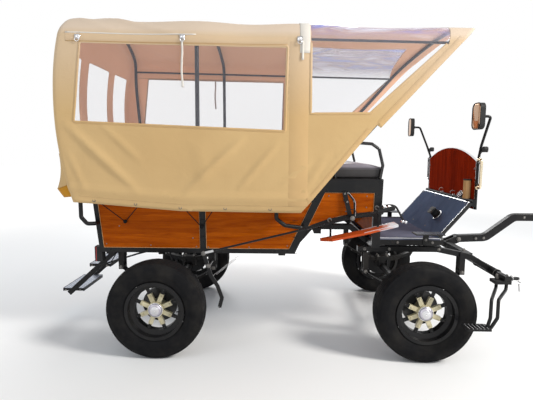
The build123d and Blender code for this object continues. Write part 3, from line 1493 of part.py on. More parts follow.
# Rear steps and tail lamps
STEP_HEAD = (TUB_REAR + FRAME_T + 3, TUB_BASE_Z - 20)
STEP_FOOT = (-880.0, 250.0)
BRACE_R = 7.0
with BuildPart() as rear_step_frame:
    bar(
        (fwd(STEP_HEAD[0]), -TREAD_HALF, STEP_HEAD[1]),
        (fwd(STEP_FOOT[0]), -TREAD_HALF, STEP_FOOT[1]),
        STRINGER_T,
        STRINGER_W,
    )
    box(
        (fwd(STEP_HEAD[0] - 8), -TREAD_HALF - 20, TUB_BASE_Z - 50),
        (fwd(STEP_HEAD[0]), -TREAD_HALF + 4, TUB_BASE_Z - 1),
    )
    round_bar(
        (
            (fwd(TREADS[0][0]), -TREAD_HALF - 8, TREADS[0][1] - 10),
            (fwd(-300), -TREAD_HALF - 8, TREADS[0][1] + 90),
            (fwd(0), -TREAD_HALF - 8, REAR_RAIL_Z - RAIL_H / 2 - 10),
        ),
        BRACE_R,
        60,
    )
    box(
        (fwd(-18), -TREAD_HALF - 20, REAR_RAIL_Z - RAIL_H / 2 - 20),
        (fwd(18), -TREAD_HALF + 4, REAR_RAIL_Z - RAIL_H / 2),
    )
    mirror(about=Plane.XZ)
finish(rear_step_frame, "rear_step_frame")

with BuildPart() as rear_step_treads:
    tread_half = TREAD_HALF - STRINGER_T / 2
    for reach, z in TREADS:
        box(
            (fwd(reach - TREAD_DEPTH / 2), -tread_half, z - TREAD_T),
            (fwd(reach + TREAD_DEPTH / 2), tread_half, z),
        )
        for edge in (-1, 1):
            lip = reach + edge * (TREAD_DEPTH - TREAD_T) / 2
            box(
                (fwd(lip - TREAD_T / 2), -tread_half, z - 5 * TREAD_T),
                (fwd(lip + TREAD_T / 2), tread_half, z),
            )
finish(rear_step_treads, "rear_step_treads")

LAMP_BOX_Z = 620.0
LAMP_BOX_H = 110.0
LAMP_BOX_Y = 500.0
LAMP_BOX_W = 60.0
LAMP_BOX_REACH = -480.0
with BuildPart() as tail_lamps:
    top = LAMP_BOX_Z + LAMP_BOX_H
    front = TUB_REAR - TUB_REAR_LEAN * (top - TUB_BASE_Z) / TUB_HEIGHT
    box((fwd(LAMP_BOX_REACH), -LAMP_BOX_Y - LAMP_BOX_W, LAMP_BOX_Z), (fwd(front), -LAMP_BOX_Y, top))
    mirror(about=Plane.XZ)
finish(tail_lamps, "tail_lamps")

with BuildPart() as tail_lenses:
    box(
        (fwd(LAMP_BOX_REACH - 12), -LAMP_BOX_Y - LAMP_BOX_W + 3, LAMP_BOX_Z + 3),
        (fwd(LAMP_BOX_REACH), -LAMP_BOX_Y - 3, LAMP_BOX_Z + LAMP_BOX_H - 3),
    )
    mirror(about=Plane.XZ)
finish(tail_lenses, "tail_lenses")
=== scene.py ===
import math

import bmesh
import bpy
from mathutils import Matrix, Vector, noise


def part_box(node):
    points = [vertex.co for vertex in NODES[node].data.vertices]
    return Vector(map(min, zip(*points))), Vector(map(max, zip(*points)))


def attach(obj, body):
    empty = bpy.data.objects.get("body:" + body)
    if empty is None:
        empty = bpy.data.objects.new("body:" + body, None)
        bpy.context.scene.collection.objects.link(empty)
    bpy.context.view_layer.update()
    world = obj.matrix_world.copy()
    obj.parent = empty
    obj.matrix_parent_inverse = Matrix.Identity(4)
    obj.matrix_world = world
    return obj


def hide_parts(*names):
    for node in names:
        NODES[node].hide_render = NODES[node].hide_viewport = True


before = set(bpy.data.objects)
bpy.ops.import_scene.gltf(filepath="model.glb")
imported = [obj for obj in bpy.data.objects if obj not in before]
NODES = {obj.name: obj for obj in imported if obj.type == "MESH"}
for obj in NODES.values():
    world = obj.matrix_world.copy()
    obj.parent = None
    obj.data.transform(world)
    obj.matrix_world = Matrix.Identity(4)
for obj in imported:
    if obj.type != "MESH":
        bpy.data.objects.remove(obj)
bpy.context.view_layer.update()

AXLE = -1.988  # the rear axle's x in the row frame
WHEELBASE, TRACK_HALF, WHEEL_Z = 1.83, 0.725, 0.34
SIDES = (-1, 1)
UP, DOWN, AHEAD, BACK, LEFT, RIGHT = (
    (0, 0, 1), (0, 0, -1), (1, 0, 0), (-1, 0, 0), (0, 1, 0), (0, -1, 0),
)
WHEELS = {
    f"{end}_{hand}": (reach, side * TRACK_HALF)
    for end, reach in (("rear", 0.0), ("front", WHEELBASE))
    for hand, side in (("right", -1), ("left", 1))
}


def at(reach, y, z):
    """A place in the row frame, its reach measured forward from the rear axle."""
    return Vector((AXLE + reach, y, z))


# Materials

EAVE_SEAM_Z, SEAM_FALL = 2.118, 0.0196  # the eave seam, and its fall for each metre forward
HUB_STAR_R = 0.118  # the star's spoke ends are black outside it
HUB_DRUM_Y, HUB_CAP_Y = 0.668, 0.7717  # the drum ends and the cap begins here
SEAT_BACK = 1.16  # reach of the driver's seat's rear edge


class Paint:
    """A procedural material, with short names for the nodes that it uses."""

    def __init__(self, name, rough=0.5, metal=0.0, color=(0.5, 0.5, 0.5), **sockets):
        self.mat = bpy.data.materials.new(name)
        self.mat.use_nodes = True
        self.tree = self.mat.node_tree
        self.shader = self.tree.nodes["Principled BSDF"]
        self.feed(Base_Color=color, Roughness=rough, Metallic=metal, **sockets)
        self.space = self.node("TexCoord").outputs["Object"]

    def link(self, socket, value):
        """Gives a socket a value, a colour or another node's output."""
        if isinstance(value, bpy.types.NodeSocket):
            self.tree.links.new(value, socket)
        elif socket.type == "RGBA":
            socket.default_value = (*value, 1.0)
        else:
            socket.default_value = value

    def plug(self, node, **values):
        """Links a node's inputs by name, with _ for a space."""
        for name, value in values.items():
            self.link(node.inputs[name.replace("_", " ")], value)
        return node

    def feed(self, **values):
        self.plug(self.shader, **values)

    def node(self, kind, **values):
        return self.plug(self.tree.nodes.new("ShaderNode" + kind), **values)

    def mapped(self, stretch=(1, 1, 1)):
        return self.node("Mapping", Scale=stretch, Vector=self.space).outputs["Vector"]

    def noise(self, scale, detail=4.0, stretch=(1, 1, 1), rough=0.55, warp=0.0):
        values = {"Scale": scale, "Detail": detail, "Roughness": rough, "Distortion": warp}
        return self.node("TexNoise", Vector=self.mapped(stretch), **values).outputs["Fac"]

    def weave(self, scale, *axes):
        """Two crossing sets of ridges."""
        waves = []
        for axis in axes:
            wave = self.node("TexWave", Scale=scale, Distortion=0.0, Detail=0, Vector=self.mapped())
            wave.bands_direction = axis
            waves.append(wave.outputs["Fac"])
        return self.math("ADD", *waves)

    def cells(self, scale):
        return self.node("TexVoronoi", Scale=scale, Vector=self.mapped()).outputs["Distance"]

    def ramp(self, factor, *stops):
        node = self.node("ValToRGB", Fac=factor)
        points = node.color_ramp.elements
        while len(points) < len(stops):
            points.new(0.5)
        for point, (place, color) in zip(points, stops):
            point.position = place
            point.color = (*(color if isinstance(color, tuple) else (color,) * 3), 1.0)
        return node.outputs["Color"]

    def math(self, kind, a, b):
        node = self.node("Math")
        node.operation = kind
        self.link(node.inputs[0], a)
        self.link(node.inputs[1], b)
        return node.outputs["Value"]

    def past(self, value, start, rate=1.0):
        """How far a value is past a start, times a rate."""
        return self.math("MULTIPLY", self.math("SUBTRACT", value, start), rate)

    def blend(self, factor, a, b):
        node = self.node("Mix")
        node.data_type = "RGBA"
        for place, value in ((0, factor), (6, a), (7, b)):
            self.link(node.inputs[place], value)
        return node.outputs[2]

    def axis(self, name):
        return self.node("SeparateXYZ", Vector=self.space).outputs[name]

    def reach(self):
        return self.math("ADD", self.axis("X"), -AXLE)

    def seam_level(self):
        """Height, measured so that the falling eave seam is level."""
        return self.math("ADD", self.axis("Z"), self.math("MULTIPLY", self.axis("X"), SEAM_FALL))

    def bump(self, height, strength, distance):
        node = self.node("Bump", Strength=strength, Distance=distance, Height=height)
        if self.shader.inputs["Normal"].is_linked:
            self.plug(node, Normal=self.shader.inputs["Normal"].links[0].from_socket)
        self.feed(Normal=node.outputs["Normal"])


def shade(color, share):
    return tuple(c * share for c in color)


def canvas_paint(name, light, dark, roof=None, painted_daylight=None):
    """Coated cotton canvas: fine weave and soft creases. roof is a paler tone painted above
    the eave seam and partway up the side, painted sunlight on the top; painted_daylight is an
    emission, painted light for the daylight that comes through the cloth to the inside."""
    paint = Paint(name, rough=0.75, Sheen_Weight=0.1, Specular_IOR_Level=0.15)
    # painted light: an emission on the cloth for daylight shining through it
    if painted_daylight:
        paint.feed(Emission_Color=painted_daylight, Emission_Strength=1.0)
    tone = paint.ramp(paint.noise(1.3, 5), (0.3, dark), (0.72, light))
    if roof:
        level = paint.seam_level()
        # painted light: the side grows paler upwards towards the roof tone, and above the eave seam
        # takes it fully, for the sunlit top
        tone = paint.blend(paint.ramp(paint.past(level, 1.0), (0.62, 0.0), (1.0, 0.5)), tone, roof)
        tone = paint.blend(paint.past(level, EAVE_SEAM_Z, 22.0), tone, roof)
    grain = paint.math("MULTIPLY", paint.noise(240, 2), 0.12)
    paint.feed(Base_Color=paint.blend(grain, tone, shade(dark, 0.55)))
    paint.bump(paint.weave(190, "X", "Z"), 0.12, 0.0006)
    paint.bump(paint.noise(7, 5, warp=0.6), 0.25, 0.012)
    return paint.mat


def wood_paint(name, light, dark, grain_axis="X", coat=0.06):
    """Varnished plywood: long grain, darker figure and a thin clear coat."""
    paint = Paint(name, rough=0.38, Coat_Weight=coat, Coat_Roughness=0.10, Specular_IOR_Level=0.0)
    stretch = {"X": (0.7, 9, 9), "Z": (9, 9, 0.7)}[grain_axis]
    middle = tuple((a + b) / 2 for a, b in zip(light, dark))
    figure = paint.noise(2.2, 6, stretch, 0.62, 1.6)
    tone = paint.ramp(figure, (0.32, dark), (0.5, middle), (0.68, light))
    fine = paint.noise(22, 3, stretch)
    tone = paint.blend(paint.ramp(fine, (0.45, 0.0), (0.75, 0.35)), tone, shade(dark, 0.45))
    gloss = paint.ramp(paint.noise(6, 3), (0.3, 0.26), (0.7, 0.46))
    paint.feed(Base_Color=tone, Roughness=gloss)
    paint.bump(fine, 0.08, 0.001)
    return paint.mat


def metal_paint(name, color, rough, paler, coat=0.0):
    """Painted metal or plastic with dust and rubbed places."""
    paint = Paint(name, Coat_Weight=coat, Coat_Roughness=0.12, Specular_IOR_Level=0.22)
    tone = paint.ramp(paint.noise(5, 6, rough=0.65), (0.42, color), (0.78, paler))
    gloss = paint.ramp(paint.noise(13, 4), (0.3, rough * 0.8), (0.75, rough * 1.5))
    paint.feed(Base_Color=tone, Roughness=gloss)
    paint.bump(paint.noise(90, 2), 0.05, 0.0006)
    return paint.mat


def bare_metal(name, color, rough, brush=(1, 1, 1)):
    paint = Paint(name, metal=1.0)
    lines = paint.noise(60, 3, brush)
    tone = paint.ramp(paint.noise(8, 5), (0.3, shade(color, 0.8)), (0.7, color))
    paint.feed(Base_Color=tone, Roughness=paint.ramp(lines, (0.3, rough * 0.7), (0.7, rough * 1.5)))
    paint.bump(lines, 0.04, 0.0004)
    return paint.mat


def rubber_paint():
    paint = Paint("rubber_tyre", Specular_IOR_Level=0.10)
    dust = paint.noise(9, 5, rough=0.6)
    tone = paint.ramp(dust, (0.4, (0.007, 0.007, 0.008)), (0.85, (0.022, 0.020, 0.018)))
    paint.feed(Base_Color=tone, Roughness=paint.ramp(paint.noise(21, 3), (0.3, 0.6), (0.7, 0.85)))
    paint.bump(paint.noise(140, 2), 0.12, 0.0006)
    return paint.mat


def hub_paint():
    """Cream hub star with black spoke ends, black drum behind it and a bright metal cap, told
    apart by place."""
    paint = Paint("paint_hub", Coat_Weight=0.2)
    side, reach = paint.math("ABSOLUTE", paint.axis("Y"), 0.0), paint.reach()
    cap = paint.math("GREATER_THAN", side, HUB_CAP_Y)
    in_front = paint.math("GREATER_THAN", reach, WHEELBASE / 2)
    along = paint.math("SUBTRACT", reach, paint.math("MULTIPLY", in_front, WHEELBASE))
    rise = paint.math("SUBTRACT", paint.axis("Z"), WHEEL_Z)
    squares = (paint.math("MULTIPLY", part, part) for part in (along, rise))
    spoke_end = paint.math("GREATER_THAN", paint.math("ADD", *squares), HUB_STAR_R**2)
    grime = paint.noise(26, 5, rough=0.65)
    tone = paint.ramp(grime, (0.35, (0.66, 0.60, 0.40)), (0.75, (0.42, 0.36, 0.22)))
    tone = paint.blend(spoke_end, tone, (0.010, 0.010, 0.011))
    tone = paint.blend(paint.math("LESS_THAN", side, HUB_DRUM_Y), tone, (0.016, 0.016, 0.017))
    tone = paint.blend(cap, tone, (0.52, 0.50, 0.56))
    gloss = paint.ramp(paint.noise(30, 3), (0.3, 0.3), (0.75, 0.48))
    paint.feed(Base_Color=tone, Metallic=paint.math("MULTIPLY", cap, 0.9), Roughness=gloss)
    paint.bump(paint.noise(60, 3), 0.08, 0.0008)
    return paint.mat


def film_paint():
    """Clear soft plastic window sheet with ripples; above the eave seam it is less clear and
    carries a painted sky reflection in streaks of glare.
    """
    paint = Paint("film_clear", Coat_Weight=0.12, Coat_Roughness=0.06, Specular_IOR_Level=0.2)
    above = paint.ramp(paint.past(paint.seam_level(), 2.10, 9.0), (0.0, 0.0), (1.0, 1.0))
    # painted reflection: blue, mauve and white sky glare painted in streaks into the colour above
    # the eave seam
    painted_glare = paint.noise(5.0, 3, (0.35, 0.8, 3.0), warp=1.4)
    sky = ((0.36, (0.26, 0.30, 0.78)), (0.50, (0.50, 0.36, 0.42)), (0.64, (0.82, 0.82, 0.98)))
    paint.feed(
        Base_Color=paint.blend(above, (0.55, 0.55, 0.62), paint.ramp(painted_glare, *sky)),
        Alpha=paint.math("ADD", paint.math("MULTIPLY", above, 0.42), 0.07),
        Roughness=paint.ramp(paint.noise(4, 4), (0.35, 0.05), (0.75, 0.22)),
    )
    paint.bump(paint.noise(3.2, 3, (1, 1, 2.2), warp=1.2), 0.6, 0.03)
    return paint.mat


def board_paint(name, light, dark):
    """Film-faced anti-slip board: a fine wire-mesh pattern and scuffs."""
    paint = Paint(name, Specular_IOR_Level=0.0)
    tone = paint.ramp(paint.noise(3, 6, rough=0.7, warp=0.8), (0.35, dark), (0.75, light))
    paint.feed(Base_Color=tone, Roughness=paint.ramp(paint.noise(5, 4), (0.3, 0.45), (0.7, 0.7)))
    paint.bump(paint.weave(70, "X", "Y"), 0.25, 0.0008)
    return paint.mat


def vinyl_paint():
    """Black grained vinyl; the driver's seat top is painted paler grey-lilac, a painted sky
    reflection.
    """
    paint = Paint("vinyl_black", Specular_IOR_Level=0.5)
    tone = paint.ramp(paint.noise(3, 5), (0.3, (0.018, 0.017, 0.018)), (0.75, (0.05, 0.046, 0.047)))
    z = paint.axis("Z")
    # painted reflection: on the driver's seat the colour turns paler grey-lilac towards the top,
    # for the sky's sheen
    ahead = paint.math("GREATER_THAN", paint.reach(), SEAT_BACK)
    seat = paint.math("MULTIPLY", ahead, paint.math("LESS_THAN", z, 1.375))
    top = paint.ramp(paint.past(z, 1.285, 25.0), (0.2, 0.0), (0.8, 0.75))
    paint.feed(
        Base_Color=paint.blend(paint.math("MULTIPLY", seat, top), tone, (0.30, 0.28, 0.33)),
        Roughness=paint.ramp(paint.noise(9, 4), (0.3, 0.38), (0.7, 0.6)),
    )
    paint.bump(paint.cells(420), 0.18, 0.0008)
    paint.bump(paint.noise(16, 4), 0.15, 0.004)
    return paint.mat


def lens_paint(name, color):
    paint = Paint(name, color=color, Coat_Weight=0.8, Coat_Roughness=0.04)
    paint.bump(paint.weave(60, "Z", "Y"), 0.35, 0.001)
    paint.feed(Roughness=paint.ramp(paint.noise(14, 2), (0.3, 0.08), (0.7, 0.2)))
    return paint.mat


def fender_paint():
    """Varnished board whose tip, ahead of a wavy line, is pale grey; the stays above its upper face
    are black.
    """
    paint = Paint("wood_fender", rough=0.4, Coat_Weight=0.1, Specular_IOR_Level=0.12)
    figure = paint.noise(2.2, 6, (0.7, 9, 9), 0.62, 1.6)
    tone = paint.ramp(figure, (0.32, (0.36, 0.045, 0.008)), (0.68, (0.56, 0.085, 0.012)))
    reach = paint.reach()
    paler = paint.past(reach, paint.math("ADD", 1.520, figure), 9.0)
    tone = paint.blend(paint.math("ADD", paler, 4.6), tone, (0.60, 0.60, 0.63))
    # the board's upper face has two slopes, each (start, rise for each metre, height there)
    slopes = ((1.123, 0.2115, 0.8300), (1.402, 0.2601, 0.8890))
    faces = (paint.math("ADD", paint.past(reach, a, rate), b) for a, rate, b in slopes)
    above = paint.math("GREATER_THAN", paint.axis("Z"), paint.math("MAXIMUM", *faces))
    paint.feed(Base_Color=paint.blend(above, tone, (0.008, 0.008, 0.009)))
    paint.bump(paint.noise(22, 3, (0.7, 9, 9)), 0.08, 0.001)
    return paint.mat


# paler tone of the top: painted sunlight, not a colour of the cloth
ROOF_PAINTED_LIGHT = (0.62, 0.50, 0.39)
INK = (0.007, 0.007, 0.008)
CANVAS = canvas_paint("canvas_sand", (0.60, 0.415, 0.20), (0.53, 0.35, 0.16), ROOF_PAINTED_LIGHT)
# the inside carries painted light: an emission for daylight through the cloth
LINING = canvas_paint(
    "canvas_inside", (0.70, 0.41, 0.26), (0.58, 0.32, 0.19), painted_daylight=(0.20, 0.105, 0.06)
)
SEAM = canvas_paint("canvas_seam", (0.50, 0.33, 0.16), (0.42, 0.27, 0.13))
WEBBING = canvas_paint("webbing_pale", (0.74, 0.70, 0.64), (0.62, 0.58, 0.52))
# the border takes the same painted sunlight above the eave seam
CANVAS_TRIM = canvas_paint("canvas_border", (0.60, 0.40, 0.19), (0.53, 0.345, 0.16), ROOF_PAINTED_LIGHT)
# painted shade: the flap's colour is a darker orange-brown copy of the canvas, for its underside in
# shade
FLAP_SHADED = canvas_paint("canvas_flap_shaded", (0.58, 0.27, 0.016), (0.44, 0.19, 0.010))
WOOD = wood_paint("wood_varnished", (0.46, 0.100, 0.004), (0.26, 0.043, 0.002))
WOOD_RED = wood_paint("wood_red_brown", (0.34, 0.026, 0.003), (0.17, 0.011, 0.001), "Z", 0.015)
WOOD_PALE = wood_paint("wood_pale", (0.66, 0.42, 0.20), (0.50, 0.28, 0.12), "Z")
BLACK = metal_paint("paint_black", INK, 0.3, (0.018, 0.017, 0.016))
GLOSS = metal_paint("paint_black_gloss", INK, 0.2, (0.014, 0.014, 0.014), coat=0.8)
SPRING = metal_paint("paint_spring", (0.009, 0.009, 0.010), 0.42, (0.03, 0.026, 0.022))
PLASTIC = metal_paint("plastic_black", (0.016, 0.016, 0.017), 0.55, (0.03, 0.03, 0.03))
STEEL = bare_metal("steel_galvanised", (0.62, 0.62, 0.63), 0.34)
BOLT = bare_metal("bolt_dark_zinc", (0.21, 0.20, 0.19), 0.5)
CHROME = bare_metal("steel_chromed", (0.78, 0.78, 0.80), 0.12)
BRASS = bare_metal("brass_pale", (0.84, 0.72, 0.52), 0.26)
ALUMINIUM = bare_metal("aluminium_edging", (0.80, 0.81, 0.82), 0.30, (0.3, 4, 4))
PLATE = bare_metal("aluminium_chequer", (0.36, 0.40, 0.49), 0.45)
# painted reflection: the mirror's orange-brown is the canvas it reflects, painted into its colour
MIRROR_PAINTED_REFLECTION = bare_metal("mirror_glass", (0.62, 0.40, 0.26), 0.05)
RUBBER = rubber_paint()
HUB = hub_paint()
FILM = film_paint()
TOE_BOARD = board_paint("board_blue_grey", (0.118, 0.162, 0.255), (0.066, 0.092, 0.150))
DECK_BOARD = board_paint("board_dark", (0.150, 0.158, 0.215), (0.090, 0.095, 0.135))
VINYL = vinyl_paint()
RED_LENS = lens_paint("lens_red", (0.55, 0.015, 0.012))
CLEAR_LENS = lens_paint("lens_clear", (0.82, 0.84, 0.85))
FENDER = fender_paint()

NODE_PAINTS = {
    BLACK: (
        "chassis_frame", "tub_frame", "fore_carriage", "swivel_ring", "driver_steps", "pole",
        "canopy_bows", "dash_rails", "side_plates", "brake_linkage",
        "rear_step_frame", "seat_frame", "rear_axle", "front_axle",
        *("rim_" + name for name in WHEELS),
    ),
    SPRING: ("rear_springs", "front_springs"),
    GLOSS: ("seat_arms",),
    WOOD: ("side_panels", "tail_panels", "rear_door", "seat_boards", "bench_boxes"),
    FENDER: ("fender_boards",),
    WOOD_RED: ("dash_board",),
    WOOD_PALE: ("whip_holder",),
    DECK_BOARD: ("tub_floor", "footboard"),
    TOE_BOARD: ("toe_board",),
    PLATE: ("rear_step_treads",),
    ALUMINIUM: ("board_trims",),
    PLASTIC: ("mirrors", "front_lamps", "tail_lamps", "foot_pedal"),
    RED_LENS: ("tail_lenses",),
    HUB: tuple("hub_" + name for name in WHEELS),
}
for paint, names in NODE_PAINTS.items():
    for name in names:
        NODES[name].data.materials.clear()
        NODES[name].data.materials.append(paint)

# a slot name for each paint; nothing in this script reads this table
USUAL_SLOT = {
    **dict.fromkeys((CANVAS, CANVAS_TRIM, SEAM, WEBBING, FLAP_SHADED), "canvas"),
    **dict.fromkeys((BOLT, STEEL, CHROME, BRASS, ALUMINIUM), "trim_metal"),
    **dict.fromkeys((BLACK, GLOSS, SPRING), "frame_paint"),
    **dict.fromkeys((PLASTIC, RUBBER), "black_plastic"),
    VINYL: "cushion",
}


# Mesh helpers

CRISP = math.radians(35)  # edges that turn by more than this stay sharp on fittings


def adopt(name, mesh, material, body="body"):
    """Makes a mesh a piece of a body, smooth and painted."""
    obj = bpy.data.objects.new(name, mesh)
    bpy.context.scene.collection.objects.link(obj)
    for mat in material if isinstance(material, tuple) else (material,):
        mesh.materials.append(mat)
    mesh.shade_smooth()
    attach(obj, body)
    return obj


def from_bmesh(name, bm, material, body="body", thick=0.0, offset=0.0):
    """A piece from a finished bmesh; thick makes a surface into a sheet of cloth or film."""
    mesh = bpy.data.meshes.new(name)
    bmesh.ops.recalc_face_normals(bm, faces=bm.faces)
    bm.to_mesh(mesh)
    bm.free()
    obj = adopt(name, mesh, material, body)
    if thick:
        add_modifier(obj, "SOLIDIFY", thickness=thick, offset=offset)
    return obj


def fitting(name, bm, material, body="body"):
    """A turned or blocked piece, its edges kept crisp."""
    obj = from_bmesh(name, bm, material, body)
    bm = bmesh.new()
    bm.from_mesh(obj.data)
    for e in bm.edges:
        e.smooth = len(e.link_faces) == 2 and e.calc_face_angle(0.0) < CRISP
    bm.to_mesh(obj.data)
    bm.free()


def add_modifier(obj, kind, **values):
    mod = obj.modifiers.new(kind.lower(), kind)
    for key, value in values.items():
        setattr(mod, key, value)
    return mod


def unique(items):
    """The items once each, in the same order at every run."""
    return list(dict.fromkeys(items))


def meshes(count):
    return [bmesh.new() for _ in range(count)]


def quads(rows, closed=False):
    """Corners of the faces between neighbouring rows; closed also joins the ends of each row."""
    for a, b in zip(rows, rows[1:]):
        for k in range(len(a) if closed else len(a) - 1):
            after = (k + 1) % len(a)
            yield a[k], a[after], b[after], b[k]


def stitch(bm, rows, closed=False, caps=False):
    for corners in quads(rows, closed):
        bm.faces.new(corners)
    if caps:
        bm.faces.new(rows[0][::-1])
        bm.faces.new(rows[-1])


def circle(centre, first, second, radius, sides):
    """Places round a centre, in the plane of two directions."""
    angles = [2 * math.pi * k / sides for k in range(sides)]
    return [centre + (first * math.cos(a) + second * math.sin(a)) * radius for a in angles]


def frame_of(axis):
    """Two directions across an axis, and the axis."""
    axis = Vector(axis).normalized()
    first = axis.orthogonal().normalized()
    return first, axis.cross(first), axis


def between_points(a, b, count):
    return [Vector(a).lerp(Vector(b), i / count) for i in range(count + 1)]


def bend(points, radius, steps=5):
    """Points of a bent line whose corners are round."""
    line = [points[0]]
    for before, here, after in zip(points, points[1:], points[2:]):
        back, ahead = before - here, after - here
        run = min(radius, back.length * 0.45, ahead.length * 0.45)
        start, end = here + back.normalized() * run, here + ahead.normalized() * run
        for i in range(steps + 1):
            t = i / steps
            line.append(start.lerp(here, t).lerp(here.lerp(end, t), t))
    return line + [points[-1]]


def add_tube(bm, points, radius, sides=10, caps=True):
    """A round tube along points."""
    last = len(points) - 1
    rings, side = [], None
    for i, place in enumerate(points):
        along = (points[min(i + 1, last)] - points[max(i - 1, 0)]).normalized()
        if side is None:
            side = along.orthogonal().normalized()
        side = (side - along * side.dot(along)).normalized()
        ring = circle(place, side, along.cross(side), radius, sides)
        rings.append([bm.verts.new(spot) for spot in ring])
    stitch(bm, rings, True, caps)


def add_pipe(bm, points, radius, sides, corner, steps, side=1):
    """A tube with round corners along points given as (reach, y, z), mirrored by side."""
    route = [at(reach, side * y, z) for reach, y, z in points]
    add_tube(bm, bend(route, corner, steps), radius, sides)


def add_loop(bm, points, radius, sides):
    """A round tube along a closed line."""
    add_tube(bm, points + points[:1], radius, sides, caps=False)


def add_lathe(bm, centre, axis, profile, sides=20):
    """A turned form: its profile is (distance along the axis, radius)."""
    first, second, axis = frame_of(axis)
    rings = []
    for along, radius in profile:
        ring = circle(Vector(centre) + axis * along, first, second, max(radius, 1e-5), sides)
        rings.append([bm.verts.new(spot) for spot in ring])
    stitch(bm, rings, True, True)


def add_screw(bm, centre, axis, radius=0.005, rise=0.0025):
    add_lathe(bm, centre, axis, ((-0.001, radius), (rise * 0.5, radius), (rise, radius * 0.6)), 10)


def add_bolt(bm, centre, axis, radius=0.010, rise=0.007):
    """A hexagon head on a washer."""
    low, washer = rise * 0.25, radius * 1.35
    add_lathe(bm, centre, axis, ((-0.001, washer), (low, washer)), 14)
    add_lathe(bm, centre, axis, ((low, radius), (rise * 0.9, radius), (rise, radius * 0.86)), 6)


def add_ring(bm, centre, axis, radius, thick, around=22, sides=8, start=0.0, sweep=1.0):
    first, second, axis = frame_of(axis)
    points = []
    for k in range(around + 1):
        a = 2 * math.pi * (start + sweep * k / around)
        points.append(Vector(centre) + (first * math.cos(a) + second * math.sin(a)) * radius)
    add_tube(bm, points, thick, sides, caps=sweep < 1)


def add_block(bm, centre, size, turn=None, edge=0.0015):
    """A block with bevelled edges, turned by a matrix where one is given."""
    made = bmesh.ops.create_cube(bm, size=1.0)["verts"]
    bmesh.ops.scale(bm, vec=Vector(size), verts=made)
    if edge:
        edges = unique(e for v in made for e in v.link_edges)
        offset = min(edge, min(size) * 0.4)
        result = bmesh.ops.bevel(bm, geom=edges, offset=offset, segments=2, affect="EDGES")
        fresh = [v for f in result["faces"] for v in f.verts]
        made = unique(fresh + [v for v in made if v.is_valid])
    matrix = Matrix.Translation(centre) @ (turn.to_4x4() if turn else Matrix.Identity(4))
    bmesh.ops.transform(bm, matrix=matrix, verts=made)


def towards(direction, up=UP):
    """Rotation whose local X looks along a direction."""
    x = Vector(direction).normalized()
    y = Vector(up).cross(x).normalized()
    return Matrix((x, y, x.cross(y))).transposed()


def add_bar(bm, start, end, width, thick, up=LEFT, edge=0.0015):
    """A flat bar from one place to another; up is its thickness direction."""
    size = ((end - start).length, width, thick)
    add_block(bm, (start + end) / 2, size, towards(end - start, up), edge)


def rectangle(half_a, half_b, a=0.0, b=0.0):
    """Corners of a rectangle round a middle."""
    return [(a + i * half_a, b + k * half_b) for i, k in ((-1, -1), (1, -1), (1, 1), (-1, 1))]


# Canvas top

HEM_FRONT, HEM_MID, HEM_REAR = (0.985, 1.014), (0.184, 1.021), (-0.530, 1.077)
REAR_HEM_Z, CROWN_RISE, EAVE_FALL = 1.13, 0.13, 0.026
EAVE_Z = 2.246
HEM_HALF, EAVE_HALF = 0.762, 0.737
TURN = 0.13
CROWN_R = (EAVE_HALF**2 + CROWN_RISE**2) / (2 * CROWN_RISE)
NOTCH_IN, NOTCH_OUT, VISOR_TIP = (1.467, 1.593), (1.494, 1.574), (2.030, 2.150)
CORNER_SIDE, CORNER_TOP = 0.045, 0.09
BOW_REACHES = (-0.53, 0.30, 0.96, 2.0)
RAKED_FOOT, RAKED_SLOPE = (1.018, 1.096), 1.13  # the raked bow's foot, and its rise for each metre
CORNER_REACH = -0.53  # behind it the sides turn into the rear curtain
LAY = -0.004  # the cloth lies this far inside the hull
THREAD_STEP = 0.03


def between(a, b, t):
    return a + (b - a) * t


def soft(value, low, high):
    """Goes smoothly from 0 at low to 1 at high."""
    t = min(1.0, max(0.0, (value - low) / (high - low)))
    return t * t * (3 - 2 * t)


def hem_z(reach):
    a, b = (HEM_REAR, HEM_MID) if reach < HEM_MID[0] else (HEM_MID, HEM_FRONT)
    return between(a[1], b[1], (reach - a[0]) / (b[0] - a[0]))


def circle_through(a, b, c):
    """Centre and radius of the circle through three places."""
    d = 2 * (a[0] * (b[1] - c[1]) + b[0] * (c[1] - a[1]) + c[0] * (a[1] - b[1]))
    sq = [p[0] ** 2 + p[1] ** 2 for p in (a, b, c)]
    x = (sq[0] * (b[1] - c[1]) + sq[1] * (c[1] - a[1]) + sq[2] * (a[1] - b[1])) / d
    y = (sq[0] * (c[0] - b[0]) + sq[1] * (a[0] - c[0]) + sq[2] * (b[0] - a[0])) / d
    return x, y, math.hypot(a[0] - x, a[1] - y)


TAIL_TOP, TAIL_TOP_Z, CROWN_Z = -0.600, 2.25, 2.39
TAIL_ARC = circle_through((-0.556, HEM_REAR[1]), (-0.664, 1.70), (TAIL_TOP, TAIL_TOP_Z))


def tail_reach(z):
    """Reach of the rear curtain's outside at a height."""
    x, middle, radius = TAIL_ARC
    if z < TAIL_TOP_Z:
        return x - math.sqrt(radius**2 - (z - middle) ** 2)
    return TAIL_TOP + 0.015 * (z - TAIL_TOP_Z) / (CROWN_Z - TAIL_TOP_Z)


def front_reach(z):
    """Reach of the front edge at a height: the visor's line, or the lower edge where that is
    further out."""
    rake = (VISOR_TIP[0] - NOTCH_OUT[0]) / (VISOR_TIP[1] - NOTCH_OUT[1])
    visor = NOTCH_OUT[0] + (z - NOTCH_OUT[1]) * rake
    if z > NOTCH_OUT[1]:
        return visor
    edge = (NOTCH_IN[0] - HEM_FRONT[0]) / (NOTCH_IN[1] - HEM_FRONT[1])
    return max(visor, HEM_FRONT[0] + (z - HEM_FRONT[1]) * edge)


